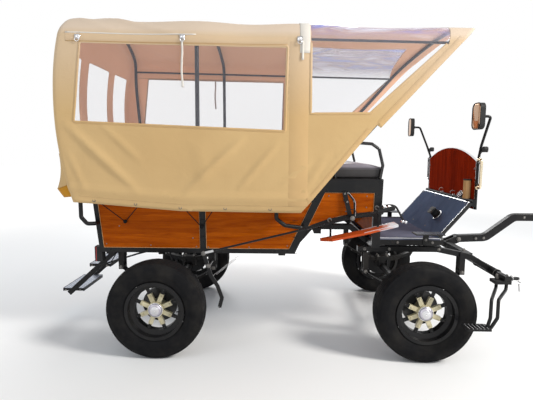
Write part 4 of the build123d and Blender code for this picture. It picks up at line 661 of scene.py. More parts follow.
def section_line(count_side, count_turn, count_crown):
    """Half of the cross-section at the rear axle: (y, z, outward normal, share of the side from
    hem to turn)."""
    slope = math.atan2(HEM_HALF - EAVE_HALF, EAVE_Z - HEM_FRONT[1])
    side_n = (math.cos(slope), math.sin(slope))
    crown_dir = math.asin(EAVE_HALF / CROWN_R)
    crown_n = (math.sin(crown_dir), math.cos(crown_dir))
    gap = math.acos(side_n[0] * crown_n[0] + side_n[1] * crown_n[1])
    back = TURN * math.tan(gap / 2)
    start = (EAVE_HALF + back * side_n[1], EAVE_Z - back * side_n[0])
    centre = (start[0] - TURN * side_n[0], start[1] - TURN * side_n[1])
    points = []
    for i in range(count_side):
        t = i / count_side
        points.append((between(HEM_HALF, start[0], t), start[1], side_n, t))
    begin = math.atan2(side_n[1], side_n[0])
    for i in range(count_turn + 1):
        angle = begin + gap * i / count_turn
        n = (math.cos(angle), math.sin(angle))
        points.append((centre[0] + TURN * n[0], centre[1] + TURN * n[1], n, 1.0))
    low = math.asin(points[-1][0] / CROWN_R)
    crown_z = EAVE_Z + CROWN_RISE
    for i in range(1, count_crown + 1):
        angle = low * (1 - i / count_crown)
        n = (math.sin(angle), math.cos(angle))
        points.append((CROWN_R * n[0], crown_z - CROWN_R + CROWN_R * n[1], n, 1.0))
    return points


COUNT_SIDE, COUNT_TURN, COUNT_CROWN, COUNT_LONG, COUNT_BEND = 52, 10, 20, 112, 6
HALF_LINE = section_line(COUNT_SIDE, COUNT_TURN, COUNT_CROWN)
RIGHT_LINE = [(-y, z, (-n[0], n[1]), t) for y, z, n, t in HALF_LINE]
LINE = RIGHT_LINE + [(y, z, n, t) for y, z, n, t in reversed(HALF_LINE[:-1])]
TURN_LOW = HALF_LINE[COUNT_SIDE][1]


def height(reach, z, share):
    """Height of a section line's point at a reach: the hem line below, the falling eave above."""
    top = z - EAVE_FALL * reach
    return between(hem_z(max(reach, CORNER_REACH)), top, share) if share < 1 else top


def ridge(x, z, start, end, width):
    """Height of a soft crease along a line on the side, strongest at its middle."""
    ax, az = start
    bx, bz = end
    length = math.hypot(bx - ax, bz - az)
    ux, uz = (bx - ax) / length, (bz - az) / length
    along = (x - ax) * ux + (z - az) * uz
    across = (x - ax) * -uz + (z - az) * ux
    if along < 0 or along > length:
        return 0.0
    fade = math.sin(math.pi * along / length) ** 0.7
    return fade * math.exp(-((across / width) ** 2))


CREASES = (
    # start, end, width, height: from the window's lower edge to the hem
    ((0.62, 1.52), (0.20, 1.13), 0.024, 0.018),
    ((0.84, 1.48), (0.56, 1.16), 0.020, 0.013),
    ((-0.60, 1.62), (-0.08, 1.14), 0.024, 0.019),
    ((-0.34, 1.60), (-0.06, 1.34), 0.018, 0.011),
    ((-0.58, 1.44), (-0.44, 1.14), 0.022, 0.008),
    ((0.84, 1.20), (1.06, 1.36), 0.020, 0.007),
    ((0.98, 1.12), (1.16, 1.42), 0.026, 0.008),
    ((0.30, 1.50), (0.36, 1.16), 0.050, 0.006),
)

SHOULDER_FOLDS = (
    # pulled from the rear top corner down to the eave, and short ones above the middle clip
    ((-0.50, 2.355), (0.20, 2.165), 0.016, 0.016),
    ((-0.52, 2.30), (-0.20, 2.18), 0.014, 0.009),
    ((0.05, 2.19), (0.45, 2.165), 0.010, 0.006),
    ((1.05, 2.24), (1.75, 2.16), 0.018, 0.010),
)


def bow_gap(reach, z):
    raked = RAKED_FOOT[0] + (z - RAKED_FOOT[1]) / RAKED_SLOPE
    return min(abs(reach - bow) for bow in (*BOW_REACHES, raked))


def cloth_shift(reach, y, z):
    """How far the cloth lies from the hull, outward, from its sag, creases and hem."""
    side = soft(TURN_LOW + 0.03 - EAVE_FALL * reach - z, 0.0, 0.14)
    shift = 0.010 * noise.noise(Vector((reach * 1.4, (y > 0) * 7.0, z * 1.1)))
    shift += 0.003 * noise.noise(Vector((reach * 4.0 + 3.0, (y > 0) * 5.0, z * 3.1)))
    for start, end, width, rise in CREASES:
        shift += rise * ridge(reach, z, start, end, width)
    rise = z - hem_z(reach)
    shift += 0.011 * math.exp(-(((rise - 0.095) / 0.020) ** 2))
    shift -= 0.014 * soft(0.07 - rise, 0.0, 0.07) * soft(reach, -0.50, -0.38)
    shift *= side
    roof = 1.0 - side
    if roof > 0:
        for a, b in zip(BOW_REACHES, BOW_REACHES[1:]):
            if a < reach < b:
                t = (reach - a) / (b - a)
                shift -= roof * 0.013 * math.sin(math.pi * t) ** 2
        shift += roof * 0.004 * noise.noise(Vector((reach * 2.2, y * 5.0, 1.7)))
        for start, end, width, lift in SHOULDER_FOLDS:
            shift += roof * lift * ridge(reach, z, start, end, width)
    low = -0.0005 - 0.02 * soft(bow_gap(reach, z), 0.04, 0.2)
    return LAY + max(shift, low if rise > 0.1 else shift)


def on_line(reach, y, z, n, share, lift=0.0):
    """A place on the cloth at a point of the section line."""
    here = height(reach, z, share)
    return at(reach, y, here) + Vector((0, n[0], n[1])) * (cloth_shift(reach, y, here) + lift)


def canopy_grid():
    """Vertices and faces of the whole top: tunnel, rounded rear corners and rear curtain."""
    verts = []

    def put(place):
        verts.append(place)
        return len(verts) - 1

    grid = []
    for y, z, n, share in LINE:
        rise = soft(z if share == 1 else 0, TURN_LOW, EAVE_Z + CROWN_RISE)
        corner = between(CORNER_SIDE, CORNER_TOP, rise)
        front = 1.0
        for _ in range(8):
            front = front_reach(height(front, z, share))
        rear = tail_reach(min(height(CORNER_REACH, z, share), CROWN_Z))
        column = []
        for i in range(COUNT_LONG + 1):
            reach = between(front, rear + corner, i / COUNT_LONG)
            column.append(put(on_line(reach, y, z, n, share)))
        for k in range(1, COUNT_BEND + 1):
            angle = math.pi / 2 * k / COUNT_BEND
            inset = corner * (1 - math.cos(angle))
            reach = rear + corner * (1 - math.sin(angle))
            here = height(rear + corner, z, share)
            place = at(reach, y - n[0] * inset, here - n[1] * inset)
            normal = Vector((-math.sin(angle), n[0] * math.cos(angle), n[1] * math.cos(angle)))
            flat = cloth_shift(rear + corner, y, here)
            column.append(put(place + normal * between(LAY, flat, math.cos(angle))))
        grid.append(column)
    # the curtain joins the ring of the tunnel's rear ends
    across = len(LINE)
    ring = [verts[column[-1]] for column in grid]
    top = across - 2 * COUNT_SIDE
    curtain = []
    for a in range(top):
        column = []
        for b in range(COUNT_SIDE + 1):
            if a == 0:
                column.append(grid[b][-1])
            elif a == top - 1:
                column.append(grid[across - 1 - b][-1])
            elif b == COUNT_SIDE:
                column.append(grid[COUNT_SIDE + a][-1])
            else:
                s, t = a / (top - 1), b / COUNT_SIDE
                foot = ring[0].lerp(ring[-1], s)
                sill = ring[COUNT_SIDE].lerp(ring[COUNT_SIDE + top - 1], s)
                level = ring[b].lerp(ring[across - 1 - b], s)
                place = level + foot.lerp(ring[COUNT_SIDE + a], t) - foot.lerp(sill, t)
                slack = 0.010 * noise.noise(Vector((9.0, place.y * 2.0, place.z * 1.5)))
                slack = min(slack, 0.004) * soft(TAIL_TOP_Z - place.z, 0, 0.1)
                reach = tail_reach(min(place.z, CROWN_Z)) - LAY - slack
                column.append(put(at(reach, place.y, place.z)))
        curtain.append(column)
    return verts, [*quads(grid), *quads(curtain)]


# outlines on the side are (reach, z)
SIDE_WINDOW = ((-0.517, 1.607), (0.874, 1.548), (0.887, 2.087), (-0.456, 2.120))
FRONT_WINDOW = ((1.038, 1.663), (1.422, 1.666), (1.905, 2.105), (1.960, 2.44), (1.034, 2.44))
IN_FRONT = ((0.9434, 0.964), NOTCH_IN, NOTCH_OUT, (1.60, 1.40), (1.10, 0.90))
CROWN_STRIP = 0.300
REAR_WINDOWS = ((-0.475, 0.29), (0.0, 0.40), (0.475, 0.29))
REAR_WINDOW_Z, REAR_WINDOW_HALF = 1.845, 0.245
WINDOW_ROUND = 0.015
BEHIND = AXLE - 0.5  # faces behind this belong to the rear curtain


def rounded(points, radius, steps=4):
    """A closed outline with each corner turned into a short arc."""
    result = []
    count = len(points)
    for i, corner in enumerate(points):
        here = Vector(corner)
        back = (Vector(points[i - 1]) - here).normalized()
        ahead = (Vector(points[(i + 1) % count]) - here).normalized()
        half = math.acos(max(-1, min(1, back.dot(ahead)))) / 2
        run = radius / math.tan(half)
        centre = here + (back + ahead).normalized() * (radius / math.sin(half))
        start, end = here + back * run - centre, here + ahead * run - centre
        turn = start.angle_signed(end)
        for k in range(steps + 1):
            angle = -turn * k / steps
            c, s = math.cos(angle), math.sin(angle)
            result.append(centre + Vector((start.x * c - start.y * s, start.x * s + start.y * c)))
    return result


def cut_window(bm, outline, axes, limit):
    """Cuts the surface along a convex outline and gives the faces inside it, on the side that
    limit picks."""
    a, b = axes
    middle = sum((Vector(p) for p in outline), Vector((0, 0))) / len(outline)
    planes = []

    def within(face):
        place = face.calc_center_median()
        return limit(place) and all((place - co).dot(no) < 1e-6 for co, no in planes)

    inside = [f for f in bm.faces if within(f)]
    count = len(outline)
    for i, start in enumerate(outline):
        end = outline[(i + 1) % count]
        edge = Vector(end) - Vector(start)
        if edge.length < 1e-6:
            continue
        outward = Vector((edge.y, -edge.x)).normalized()
        if outward.dot(middle - Vector(start)) > 0:
            outward = -outward
        co, no = Vector((0, 0, 0)), Vector((0, 0, 0))
        co[a], co[b] = start
        no[a], no[b] = outward
        edges = unique(e for f in inside for e in f.edges)
        verts = unique(v for f in inside for v in f.verts)
        geom = inside + edges + verts
        bmesh.ops.bisect_plane(bm, geom=geom, plane_co=co, plane_no=no, dist=1e-5)
        planes.append((co, no))
        known = unique(f for v in verts if v.is_valid for f in v.link_faces)
        inside = [f for f in known if within(f)]
    return inside


def build_canopy():
    verts, faces = canopy_grid()
    mesh = bpy.data.meshes.new("canopy_base")
    mesh.from_pydata([tuple(v) for v in verts], [], faces)
    bm = bmesh.new()
    bm.from_mesh(mesh)
    bm.normal_update()

    def on_plan(points):
        return [(AXLE + reach, z) for reach, z in points]

    # the rear curtain ends higher than the sides, and the side's front edge has a notch
    half = 0.9 * HEM_HALF
    hem = ((-half, 0.9), (-half, REAR_HEM_Z), (half, REAR_HEM_Z), (half, 0.9))
    spare = cut_window(bm, hem, (1, 2), lambda c: c.x < BEHIND)
    bmesh.ops.delete(bm, geom=spare, context="FACES")
    for side in SIDES:
        spare = cut_window(bm, on_plan(IN_FRONT), (0, 2), lambda c: c.y * side > 0.5)
        bmesh.ops.delete(bm, geom=spare, context="FACES")
    panes = []
    for side in SIDES:
        window = rounded(on_plan(SIDE_WINDOW), WINDOW_ROUND)
        panes += cut_window(bm, window, (0, 2), lambda c: c.y * side > 0.6 and c.x > AXLE - 0.56)
        window = rounded(on_plan(FRONT_WINDOW), WINDOW_ROUND)
        panes += cut_window(bm, window, (0, 2), lambda c: c.y * side > CROWN_STRIP)
    for middle, width in REAR_WINDOWS:
        window = rectangle(width / 2, REAR_WINDOW_HALF, middle, REAR_WINDOW_Z)
        window = rounded(window, WINDOW_ROUND)
        panes += cut_window(bm, window, (1, 2), lambda c: c.x < BEHIND and abs(c.y) < 0.66)
    panes = [f for f in unique(panes) if f.is_valid]
    # the faces cut out of the canvas become the film
    film = bmesh.new()
    moved = {}
    for f in panes:
        for v in f.verts:
            if v not in moved:
                moved[v] = film.verts.new(v.co)
        film.faces.new([moved[v] for v in f.verts])
    bmesh.ops.delete(bm, geom=panes, context="FACES")
    loose = [v for v in bm.verts if not v.link_faces]
    bmesh.ops.delete(bm, geom=loose, context="VERTS")
    canvas = from_bmesh("canopy_canvas", bm, (CANVAS, LINING), "body")
    add_modifier(canvas, "SOLIDIFY", thickness=0.002, offset=0.0, material_offset=1)
    panes = from_bmesh("canopy_panes", film, FILM, "body", thick=0.0006)
    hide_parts("canopy_roof", "canopy_side_right", "canopy_side_left", "canopy_rear")
    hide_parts("canopy_windows")
    return canvas, panes


canopy, panes = build_canopy()


def on_side(reach, z, side, lift=0.0):
    """A place on the side cloth at a reach and height, lifted off it a little."""
    foot = hem_z(reach)
    share = (z - foot) / (TURN_LOW - EAVE_FALL * reach - foot)
    if share < 1:
        y, n = between(HEM_HALF, HALF_LINE[COUNT_SIDE][0], share), HALF_LINE[0][2]
    else:
        level = z + EAVE_FALL * reach
        rows = HALF_LINE[COUNT_SIDE:]
        k = next((i for i in range(1, len(rows)) if rows[i][1] >= level), len(rows) - 1)
        t = (level - rows[k - 1][1]) / max(1e-6, rows[k][1] - rows[k - 1][1])
        y, n = between(rows[k - 1][0], rows[k][0], min(1, t)), rows[k][2]
    shift = cloth_shift(reach, side * y, z) + lift
    return at(reach, side * (y + n[0] * shift), z + n[1] * shift)


def steps_along(points):
    """Points at even steps along a line in the plane of the side."""
    line = []
    for a, b in zip(points, points[1:]):
        a, b = Vector(a), Vector(b)
        count = max(1, round((b - a).length / THREAD_STEP))
        line += [a.lerp(b, i / count) for i in range(count)]
    return line + [Vector(points[-1])]


def add_thread(bm, points, side, lift, radius, sides, rise=0.0):
    """A thread or piping along a line on the side, given as reach and height."""
    line = [on_side(p.x, p.y + rise, side, lift) for p in steps_along(points)]
    add_tube(bm, line, radius, sides)


def add_strip(bm, points, width, side, lift):
    """A sewn strip that follows the cloth along a line given as reach and height."""
    line = steps_along(points)
    rows = []
    for i, place in enumerate(line):
        ahead = line[min(i + 1, len(line) - 1)] - line[max(i - 1, 0)]
        across = Vector((-ahead.y, ahead.x)).normalized()
        row = []
        for share, rise in ((-0.5, 0.0), (-0.46, 1.0), (0.0, 1.0), (0.46, 1.0), (0.5, 0.0)):
            spot = place + across * width * share
            row.append(bm.verts.new(on_side(spot.x, spot.y, side, 0.0004 + lift * rise)))
        rows.append(row)
    stitch(bm, rows)


def add_strap(bm, reach, top, count, half, side, sway, lift, wave, rate):
    """A narrow strap that hangs down the side with a few waves."""
    rows = []
    for i in range(count):
        here = reach + sway * math.sin(i * 0.32)
        off = lift + wave * math.sin(i * rate) ** 2
        ends = (on_side(here + w, top - 0.0135 * i, side, off) for w in (-half, half))
        rows.append([bm.verts.new(spot) for spot in ends])
    stitch(bm, rows)


EAVE_END = -0.545


def sew_borders(bands, seams, side):
    """Eave strip, layers between the windows, and the borders of windows, visor and hem."""
    eave = [(EAVE_END, 2.150), (0.885, 2.122)]
    add_strip(bands, eave, 0.052, side, 0.0022)
    add_thread(seams, eave, side, 0.001, 0.0032, 7, rise=-0.026)
    add_strip(bands, [(0.962, 1.06), (0.962, 2.115)], 0.128, side, 0.0018)
    window = [tuple(p) for p in rounded(SIDE_WINDOW, 0.012)]
    window += window[:1]
    add_strip(bands, window, 0.020, side, 0.0016)
    add_thread(seams, window, side, 0.0015, 0.0018, 6)
    low = [(1.036, 2.11), (1.038, 1.663), (1.422, 1.666), (1.895, 2.10)]
    add_strip(bands, low, 0.018, side, 0.0016)
    visor = [(front_reach(z) - 0.035, z) for z in (1.60, 1.75, 1.9, 2.05, 2.14)]
    add_strip(bands, visor, 0.040, side, 0.0016)
    add_strip(bands, [(1.03, 1.10), (1.415, 1.565)], 0.030, side, 0.0014)
    hem = [(reach, hem_z(reach) + 0.045) for reach in (-0.50, 0.184, 0.95)]
    add_thread(seams, hem, side, 0.0006, 0.0014, 5)


def sew_rear_corner(corners, flaps, side):
    """The curtain's corner stands out towards its foot, where a loose flap hangs."""
    inner_y, outer_y, foot_reach = 0.735, 0.700, -0.670
    rows = []
    for i in range(11):
        t = i / 10
        z = between(1.40, 1.160, t)
        inner = at(tail_reach(z) + 0.022, side * inner_y, z)
        reach = between(tail_reach(z) + 0.008, foot_reach, t**1.3)
        outer = at(reach, side * between(inner_y, outer_y, t), z)
        rows.append([corners.verts.new(inner.lerp(outer, k / 3)) for k in range(4)])
    stitch(corners, rows)
    high = (at(foot_reach, side * outer_y, 1.162), at(-0.580, side * inner_y, 1.190))
    low = (at(-0.620, side * 0.712, 1.104), at(-0.548, side * inner_y, 1.112))
    rows = []
    for i in range(6):
        row = []
        for k in range(6):
            spot = high[0].lerp(high[1], k / 5).lerp(low[0].lerp(low[1], k / 5), i / 5)
            spot.y += side * 0.006 * math.sin(math.pi * k / 5) * math.sin(math.pi * i / 5)
            row.append(flaps.verts.new(spot))
        rows.append(row)
    stitch(flaps, rows)


def sew_canopy():
    """Seams, borders, straps, clips and elastic loops that are sewn or clipped to the top."""
    bands, seams, clips, straps, loops, piping, corners, flaps, eyelets = meshes(9)
    # pale band over the roof beside the front bow: (reach, lift) across it
    band = ((0.966, 0.0005), (0.969, 0.003), (1.026, 0.003), (1.029, 0.0005))
    over_roof = LINE[COUNT_SIDE - 4 : len(LINE) - COUNT_SIDE + 4]
    rows = [[straps.verts.new(on_line(x, *p, lift)) for x, lift in band] for p in over_roof]
    stitch(straps, rows)
    for side in SIDES:
        sew_borders(bands, seams, side)
        # three clips at the eave; straps hang over the window from the middle and front ones
        for reach, z in ((-0.467, 2.150), (0.212, 2.148), (0.964, 2.132)):
            place = on_side(reach, z, side, 0.005)
            out = Vector((0, side, 0.15)).normalized()
            add_block(clips, place, (0.034, 0.006, 0.030), towards(AHEAD), 0.002)
            add_ring(clips, place + out * 0.008 + Vector((0, 0, -0.020)), out, 0.013, 0.0028)
            add_screw(clips, place + out * 0.003 + Vector((0, 0, 0.006)), out, 0.004)
        add_strap(straps, 0.208, 2.140, 24, 0.007, side, 0.003, 0.004, 0.004, 0.5)
        add_strap(straps, 0.983, 2.122, 10, 0.008, side, 0.0, 0.006, 0.003, 0.6)
        # painted highlight: a pale thread along the upper edge of the eave strip, from the rear
        # corner to the middle, for its lit edge
        light = [(EAVE_END, 2.150), (0.30, 2.134)]
        add_thread(piping, light, side, 0.002, 0.0042, 7, rise=0.028)
        sew_rear_corner(corners, flaps, side)
        # eyelets along the hem, and elastic loops down to buttons on the tub's side
        for reach in (-0.40, -0.12, 0.18, 0.48, 0.78):
            eyelet = on_side(reach, hem_z(reach) + 0.022, side, 0.001)
            add_ring(eyelets, eyelet, (0, side, 0.05), 0.009, 0.0022, 16, 6)
        for reach, spread in ((-0.235, 0.135), (0.30, 0.10)):
            foot_z = hem_z(reach) - 0.125
            foot = at(reach, side * (tub_y(foot_z) + 0.006), foot_z)
            for way in SIDES:
                top = at(reach + way * spread, side * 0.715, hem_z(reach) + 0.012)
                low = foot + Vector((way * 0.004, side * 0.006, 0.002))
                add_tube(loops, between_points(top, low, 6), 0.0032, 7)
            button = ((-0.004, 0.011), (0.006, 0.011), (0.010, 0.014), (0.013, 0.011))
            add_lathe(loops, foot, (0, side, 0), button, 14)
    from_bmesh("canopy_bands", bands, CANVAS_TRIM)
    from_bmesh("canopy_seams", seams, SEAM)
    from_bmesh("canopy_clips", clips, CHROME)
    from_bmesh("canopy_eyelets", eyelets, BOLT)
    from_bmesh("canopy_straps", straps, WEBBING, thick=0.0016, offset=1.0)
    from_bmesh("canopy_elastics", loops, RUBBER)
    from_bmesh("canopy_eave_highlight", piping, WEBBING)
    from_bmesh("canopy_corners", corners, CANVAS, thick=0.002)
    # the flap's material carries painted shade of its underside
    from_bmesh("canopy_flaps", flaps, FLAP_SHADED, thick=0.002)


# Tyres

TREAD_HALF, TREAD_EDGE, TYRE_R = 0.070, 0.331, 0.340
TREAD_GROOVES = (-0.036, -0.012, 0.012, 0.036)
WALL_RINGS = ((0.232, 0.0022, 0.0035), (0.247, 0.0022, 0.003), (0.318, 0.003, 0.004))
WALL_STEPS, TREAD_STEPS, TYRE_STEPS, NOTCH_ROWS = 18, 48, 192, 6


def wall_profile():
    """A tyre's ringed side from the bead to the tread: (offset from the middle, radius)."""
    bead, widest = (0.072, 0.206), (0.090, 0.272)
    x, y, radius = circle_through(bead, widest, (TREAD_HALF, TREAD_EDGE))
    start = math.atan2(bead[1] - y, bead[0] - x)
    end = math.atan2(TREAD_EDGE - y, TREAD_HALF - x)
    points = []
    for i in range(WALL_STEPS + 1):
        angle = between(start, end, i / WALL_STEPS)
        r = y + radius * math.sin(angle)
        rings = sum(deep * math.exp(-(((r - at_r) / wide) ** 2)) for at_r, deep, wide in WALL_RINGS)
        points.append((x + radius * math.cos(angle) - rings, r))
    return points


def build_tyre(name, reach, y):
    wall = wall_profile()
    profile = [(-offset, r) for offset, r in wall]
    for i in range(1, TREAD_STEPS):
        offset = TREAD_HALF * (2 * i / TREAD_STEPS - 1)
        crown = TREAD_EDGE + (TYRE_R - TREAD_EDGE) * (1 - (offset / TREAD_HALF) ** 2)
        cut = sum(math.exp(-(((offset - groove) / 0.0030) ** 4)) for groove in TREAD_GROOVES)
        profile.append((offset, crown - 0.0006 - 0.006 * cut))
    profile += reversed(wall)
    last = len(profile) - 1
    bm = bmesh.new()
    loops = []
    for k in range(TYRE_STEPS):
        angle = 2 * math.pi * k / TYRE_STEPS
        loop = []
        for i, (offset, r) in enumerate(profile):
            # a shallow notch across each shoulder at every fourth step
            if k % 4 == 0 and 0 <= min(i, last - i) - len(wall) < NOTCH_ROWS:
                r -= 0.004
            spot = at(reach + r * math.cos(angle), y + offset, WHEEL_Z + r * math.sin(angle))
            loop.append(bm.verts.new(spot))
        loops.append(loop)
    stitch(bm, loops + loops[:1])
    tyre = from_bmesh("tyre_dressed_" + name, bm, RUBBER, "wheel_" + name)
    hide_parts("tyre_" + name)


# Fastenings and fittings


TUB_HALF, TUB_Z, TUB_FLARE = 0.600, 0.70, 0.1


def tub_y(z):
    """Outer face of the tub's flared side at a height."""
    return TUB_HALF + (z - TUB_Z) * TUB_FLARE


# places on the tub's side as (reach, z)
PANEL_SCREWS = (
    (-0.386, 0.761), (-0.069, 0.754), (0.256, 0.747), (0.342, 0.743), (0.630, 0.746),
    (0.900, 0.757), (0.233, 0.809), (-0.285, 0.893), (-0.400, 1.050), (-0.080, 1.056),
    (0.262, 1.056), (0.350, 1.056), (0.690, 1.056), (1.000, 1.056), (1.130, 0.930),
    (1.300, 1.010), (1.440, 1.040), (1.440, 1.118), (1.180, 1.118),
)
REAR_OPENING = ((-0.406, 0.735), (0.283, 0.735), (0.283, 1.072), (-0.426, 1.072))
FRONT_OPENING = ((0.327, 0.735), (0.913, 0.735), (1.066, 1.072), (0.327, 1.072))
SEAT_OPENING = ((1.044, 0.902), (1.259, 0.976), (1.490, 1.009), (1.490, 1.141), (1.152, 1.141))


def dress_sides():
    """Round-head screws and a pale bead round each panel opening."""
    screws, beads, tags = meshes(3)
    for side in SIDES:
        out = Vector((0, side, -TUB_FLARE)).normalized()
        for reach, z in PANEL_SCREWS:
            add_screw(screws, at(reach, side * (tub_y(z) - 0.0035), z), out, 0.0048, 0.0026)
        for outline in (REAR_OPENING, FRONT_OPENING, SEAT_OPENING):
            line = rounded(outline, 0.004, 2)
            bead = [at(p.x, side * (tub_y(p.y) - 0.003), p.y) for p in line]
            add_loop(beads, bead, 0.0022, 6)
        # the small black tag below the hem
        place = at(0.957, side * (tub_y(1.057) + 0.004), 1.040)
        add_block(tags, place, (0.022, 0.003, 0.030), None, 0.001)
    fitting("panel_screws", screws, BOLT)
    from_bmesh("panel_beads", beads, WOOD_PALE)
    fitting("panel_tags", tags, PLASTIC)


SPRING_ARC_R, SPRING_LOW_Z, SPRING_TOP_Z, SPRING_EYE = 0.5525, 0.420, 0.430, (0.35, 0.545)
AXLE_TUBE_R = 0.036


def dress_springs():
    """Rebound clips, clamp bolts and shackle bolts of the four leaf springs."""
    for body, reach, offset in (("body", 0.0, 0.400), ("turning_gear", WHEELBASE, 0.450)):
        clips, bolts = meshes(2)
        for side in SIDES:
            y = side * offset
            for way in SIDES:
                for across, leaves in ((0.185, 3), (0.112, 4)):
                    radius = SPRING_ARC_R + 0.004 * leaves
                    angle = way * math.asin(across / radius)
                    z = SPRING_LOW_Z + SPRING_ARC_R - radius * math.cos(angle)
                    place = at(reach + radius * math.sin(angle), y, z)
                    turn = Matrix.Rotation(-angle, 3, "Y")
                    add_block(clips, place, (0.014, 0.068, 0.008 * leaves + 0.005), turn, 0.0015)
                    head = place + turn @ Vector((0, 0, 0.004 * leaves + 0.001))
                    add_bolt(bolts, head, turn @ Vector(UP), 0.005, 0.005)
                eye = at(reach + way * SPRING_EYE[0], y, SPRING_EYE[1])
                for face in SIDES:
                    add_bolt(bolts, eye + Vector((0, face * 0.036, 0)), (0, face, 0), 0.011, 0.009)
                for face in SIDES:
                    foot = at(reach + way * 0.043, y + face * 0.029, SPRING_TOP_Z)
                    add_bolt(bolts, foot, UP, 0.0085, 0.010)
                    add_lathe(bolts, foot, UP, ((0.008, 0.005), (0.020, 0.005), (0.022, 0.004)), 10)
            # U-bolts under the axle tube
            for way in SIDES:
                line = [(-AXLE_TUBE_R, 0.06)]
                for i in range(13):
                    angle = math.pi * (1 + i / 12)
                    line.append((AXLE_TUBE_R * math.cos(angle), AXLE_TUBE_R * math.sin(angle)))
                line.append((AXLE_TUBE_R, 0.06))
                hoop = [at(reach + x, y + way * 0.046, WHEEL_Z + z) for x, z in line]
                add_tube(clips, hoop, 0.0055, 8)
        fitting("spring_clips_" + body, clips, SPRING, body)
        fitting("spring_bolts_" + body, bolts, BOLT, body)


def dress_wheels():
    """Cap ring, socket bolts, grease nipple and tyre valve on each wheel."""
    cap = ((0, 0.030), (0.002, 0.029), (0.003, 0.020), (0.0035, 0.019))
    nipple = ((0, 0.0055), (0.005, 0.0055), (0.006, 0.003), (0.010, 0.003))
    rivet = ((-0.001, 0.0075), (0.003, 0.0075), (0.0055, 0.005), (0.006, 0.002))
    stud = ((-0.001, 0.0045), (0.0015, 0.0045), (0.003, 0.002))
    for name, (reach, y) in WHEELS.items():
        side = 1 if y > 0 else -1
        bright, bolts, valve = meshes(3)
        out = Vector((0, side, 0))
        hub = at(reach, y, WHEEL_Z)
        add_ring(bright, hub + out * 0.0465, out, 0.0475, 0.0040, 32, 8)
        add_lathe(bright, hub + out * 0.0615, out, cap, 28)
        add_lathe(bright, hub + out * 0.064, out, nipple, 12)
        for k in range(8):
            angle = math.pi / 8 + math.pi / 4 * k
            spoke = Vector((math.cos(angle), 0, math.sin(angle)))
            add_lathe(bolts, hub + out * 0.030 + spoke * 0.098, out, rivet, 12)
            add_lathe(bolts, hub + out * 0.025 + spoke * 0.143, out, stud, 10)
        root = hub + Vector((0.186, side * 0.060, 0))
        tip = root + Vector((-0.030, side * 0.012, 0))
        add_tube(valve, between_points(root, tip, 3), 0.0042, 8)
        add_lathe(valve, tip, tip - root, ((-0.004, 0.0055), (0.006, 0.0055), (0.007, 0.004)), 10)
        fitting("hub_rings_" + name, bright, CHROME, "wheel_" + name)
        fitting("hub_rivets_" + name, bolts, HUB, "wheel_" + name)
        fitting("tyre_valve_" + name, valve, PLASTIC, "wheel_" + name)


SPLINTER_REACH, SPLINTER_Z = 2.40, 0.56
SWIVEL_BOLTS, SWIVEL_BOLTS_R = 12, 0.232
STEP = (2.115, 0.889, 0.305)  # middle of the top of the driver's step
TRACE_HOOK = (2.475, 0.664, 0.556)


def dress_gear():
    """Kingpin nut, swivel bolts, trace rings with their pins, sleeves and clamps of the
    fore-carriage."""
    bolts, rings, sleeves, frame_bolts = meshes(4)
    for k in range(SWIVEL_BOLTS):
        angle = 2 * math.pi * (k + 0.5) / SWIVEL_BOLTS
        x, y = SWIVEL_BOLTS_R * math.cos(angle), SWIVEL_BOLTS_R * math.sin(angle)
        if abs(y) < 0.18 or abs(x) < 0.13:
            add_bolt(frame_bolts, at(WHEELBASE + x, y, 0.748), UP, 0.008, 0.007)
    kingpin = at(WHEELBASE, 0, 0.690)
    add_lathe(bolts, kingpin, DOWN, ((0, 0.030), (0.003, 0.030)), 20)
    add_lathe(bolts, kingpin, DOWN, ((0.003, 0.024), (0.019, 0.024), (0.021, 0.021)), 6)
    pin = (
        (0, 0.004), (0.004, 0.0075), (0.010, 0.0075), (0.012, 0.005), (0.050, 0.005),
        (0.054, 0.002),
    )
    wrap = [(0.33 * i / 41, 0.0291 if i % 2 else 0.0275) for i in range(42)]
    stud = ((-0.001, 0.0034), (0.002, 0.0034), (0.0032, 0.002))
    for side in SIDES:
        for reach in (1.47, 1.65, 2.01, 2.19):
            add_bolt(bolts, at(reach, side * 0.470, 0.7115), (0, side, 0), 0.009, 0.007)
        hook = at(TRACE_HOOK[0], side * TRACE_HOOK[1], TRACE_HOOK[2])
        link = hook + Vector((0.012, 0, -0.012))
        add_ring(rings, link, (0.7, 0, 0.7), 0.019, 0.0038, 24, 8)
        add_lathe(rings, hook + Vector((0.020, 0, -0.036)), (0.1, 0, -1), pin, 12)
        add_ring(rings, hook + Vector((-0.034, 0, 0.004)), AHEAD, 0.0185, 0.0030, 20, 6)
        # rubber wrap of the splinter bar, with a clamp at each end
        add_lathe(sleeves, at(SPLINTER_REACH, side * 0.23, SPLINTER_Z), (0, side, 0), wrap, 20)
        for y in (0.236, 0.552):
            clamp = at(SPLINTER_REACH, side * y, SPLINTER_Z)
            add_ring(bolts, clamp, LEFT, 0.0300, 0.0022, 24, 6)
        # clamps that hold the step's two bars under the splinter bar
        for reach, y, z in ((SPLINTER_REACH, 0.680, 0.562), (2.355, 0.635, 0.552)):
            add_bolt(bolts, at(reach, side * y, z), UP, 0.009, 0.030)
        add_bolt(bolts, at(2.33, side * 0.046, 0.702), (0, side, 0), 0.014, 0.008)
        # studs that give the step's grate its grip
        for gap in (-0.060, -0.036, -0.012, 0.012, 0.036, 0.060):
            for k in range(5):
                spot = at(STEP[0] + gap, side * (STEP[1] + 0.018 * (k - 2)), STEP[2])
                add_lathe(rings, spot, UP, stud, 8)
    fitting("gear_bolts", bolts, BOLT, "turning_gear")
    fitting("gear_rings", rings, STEEL, "turning_gear")
    fitting("splinter_sleeves", sleeves, RUBBER, "turning_gear")
    fitting("swivel_bolts", frame_bolts, BOLT)


POLE_Z, POLE_HALF = 0.885, 0.0305


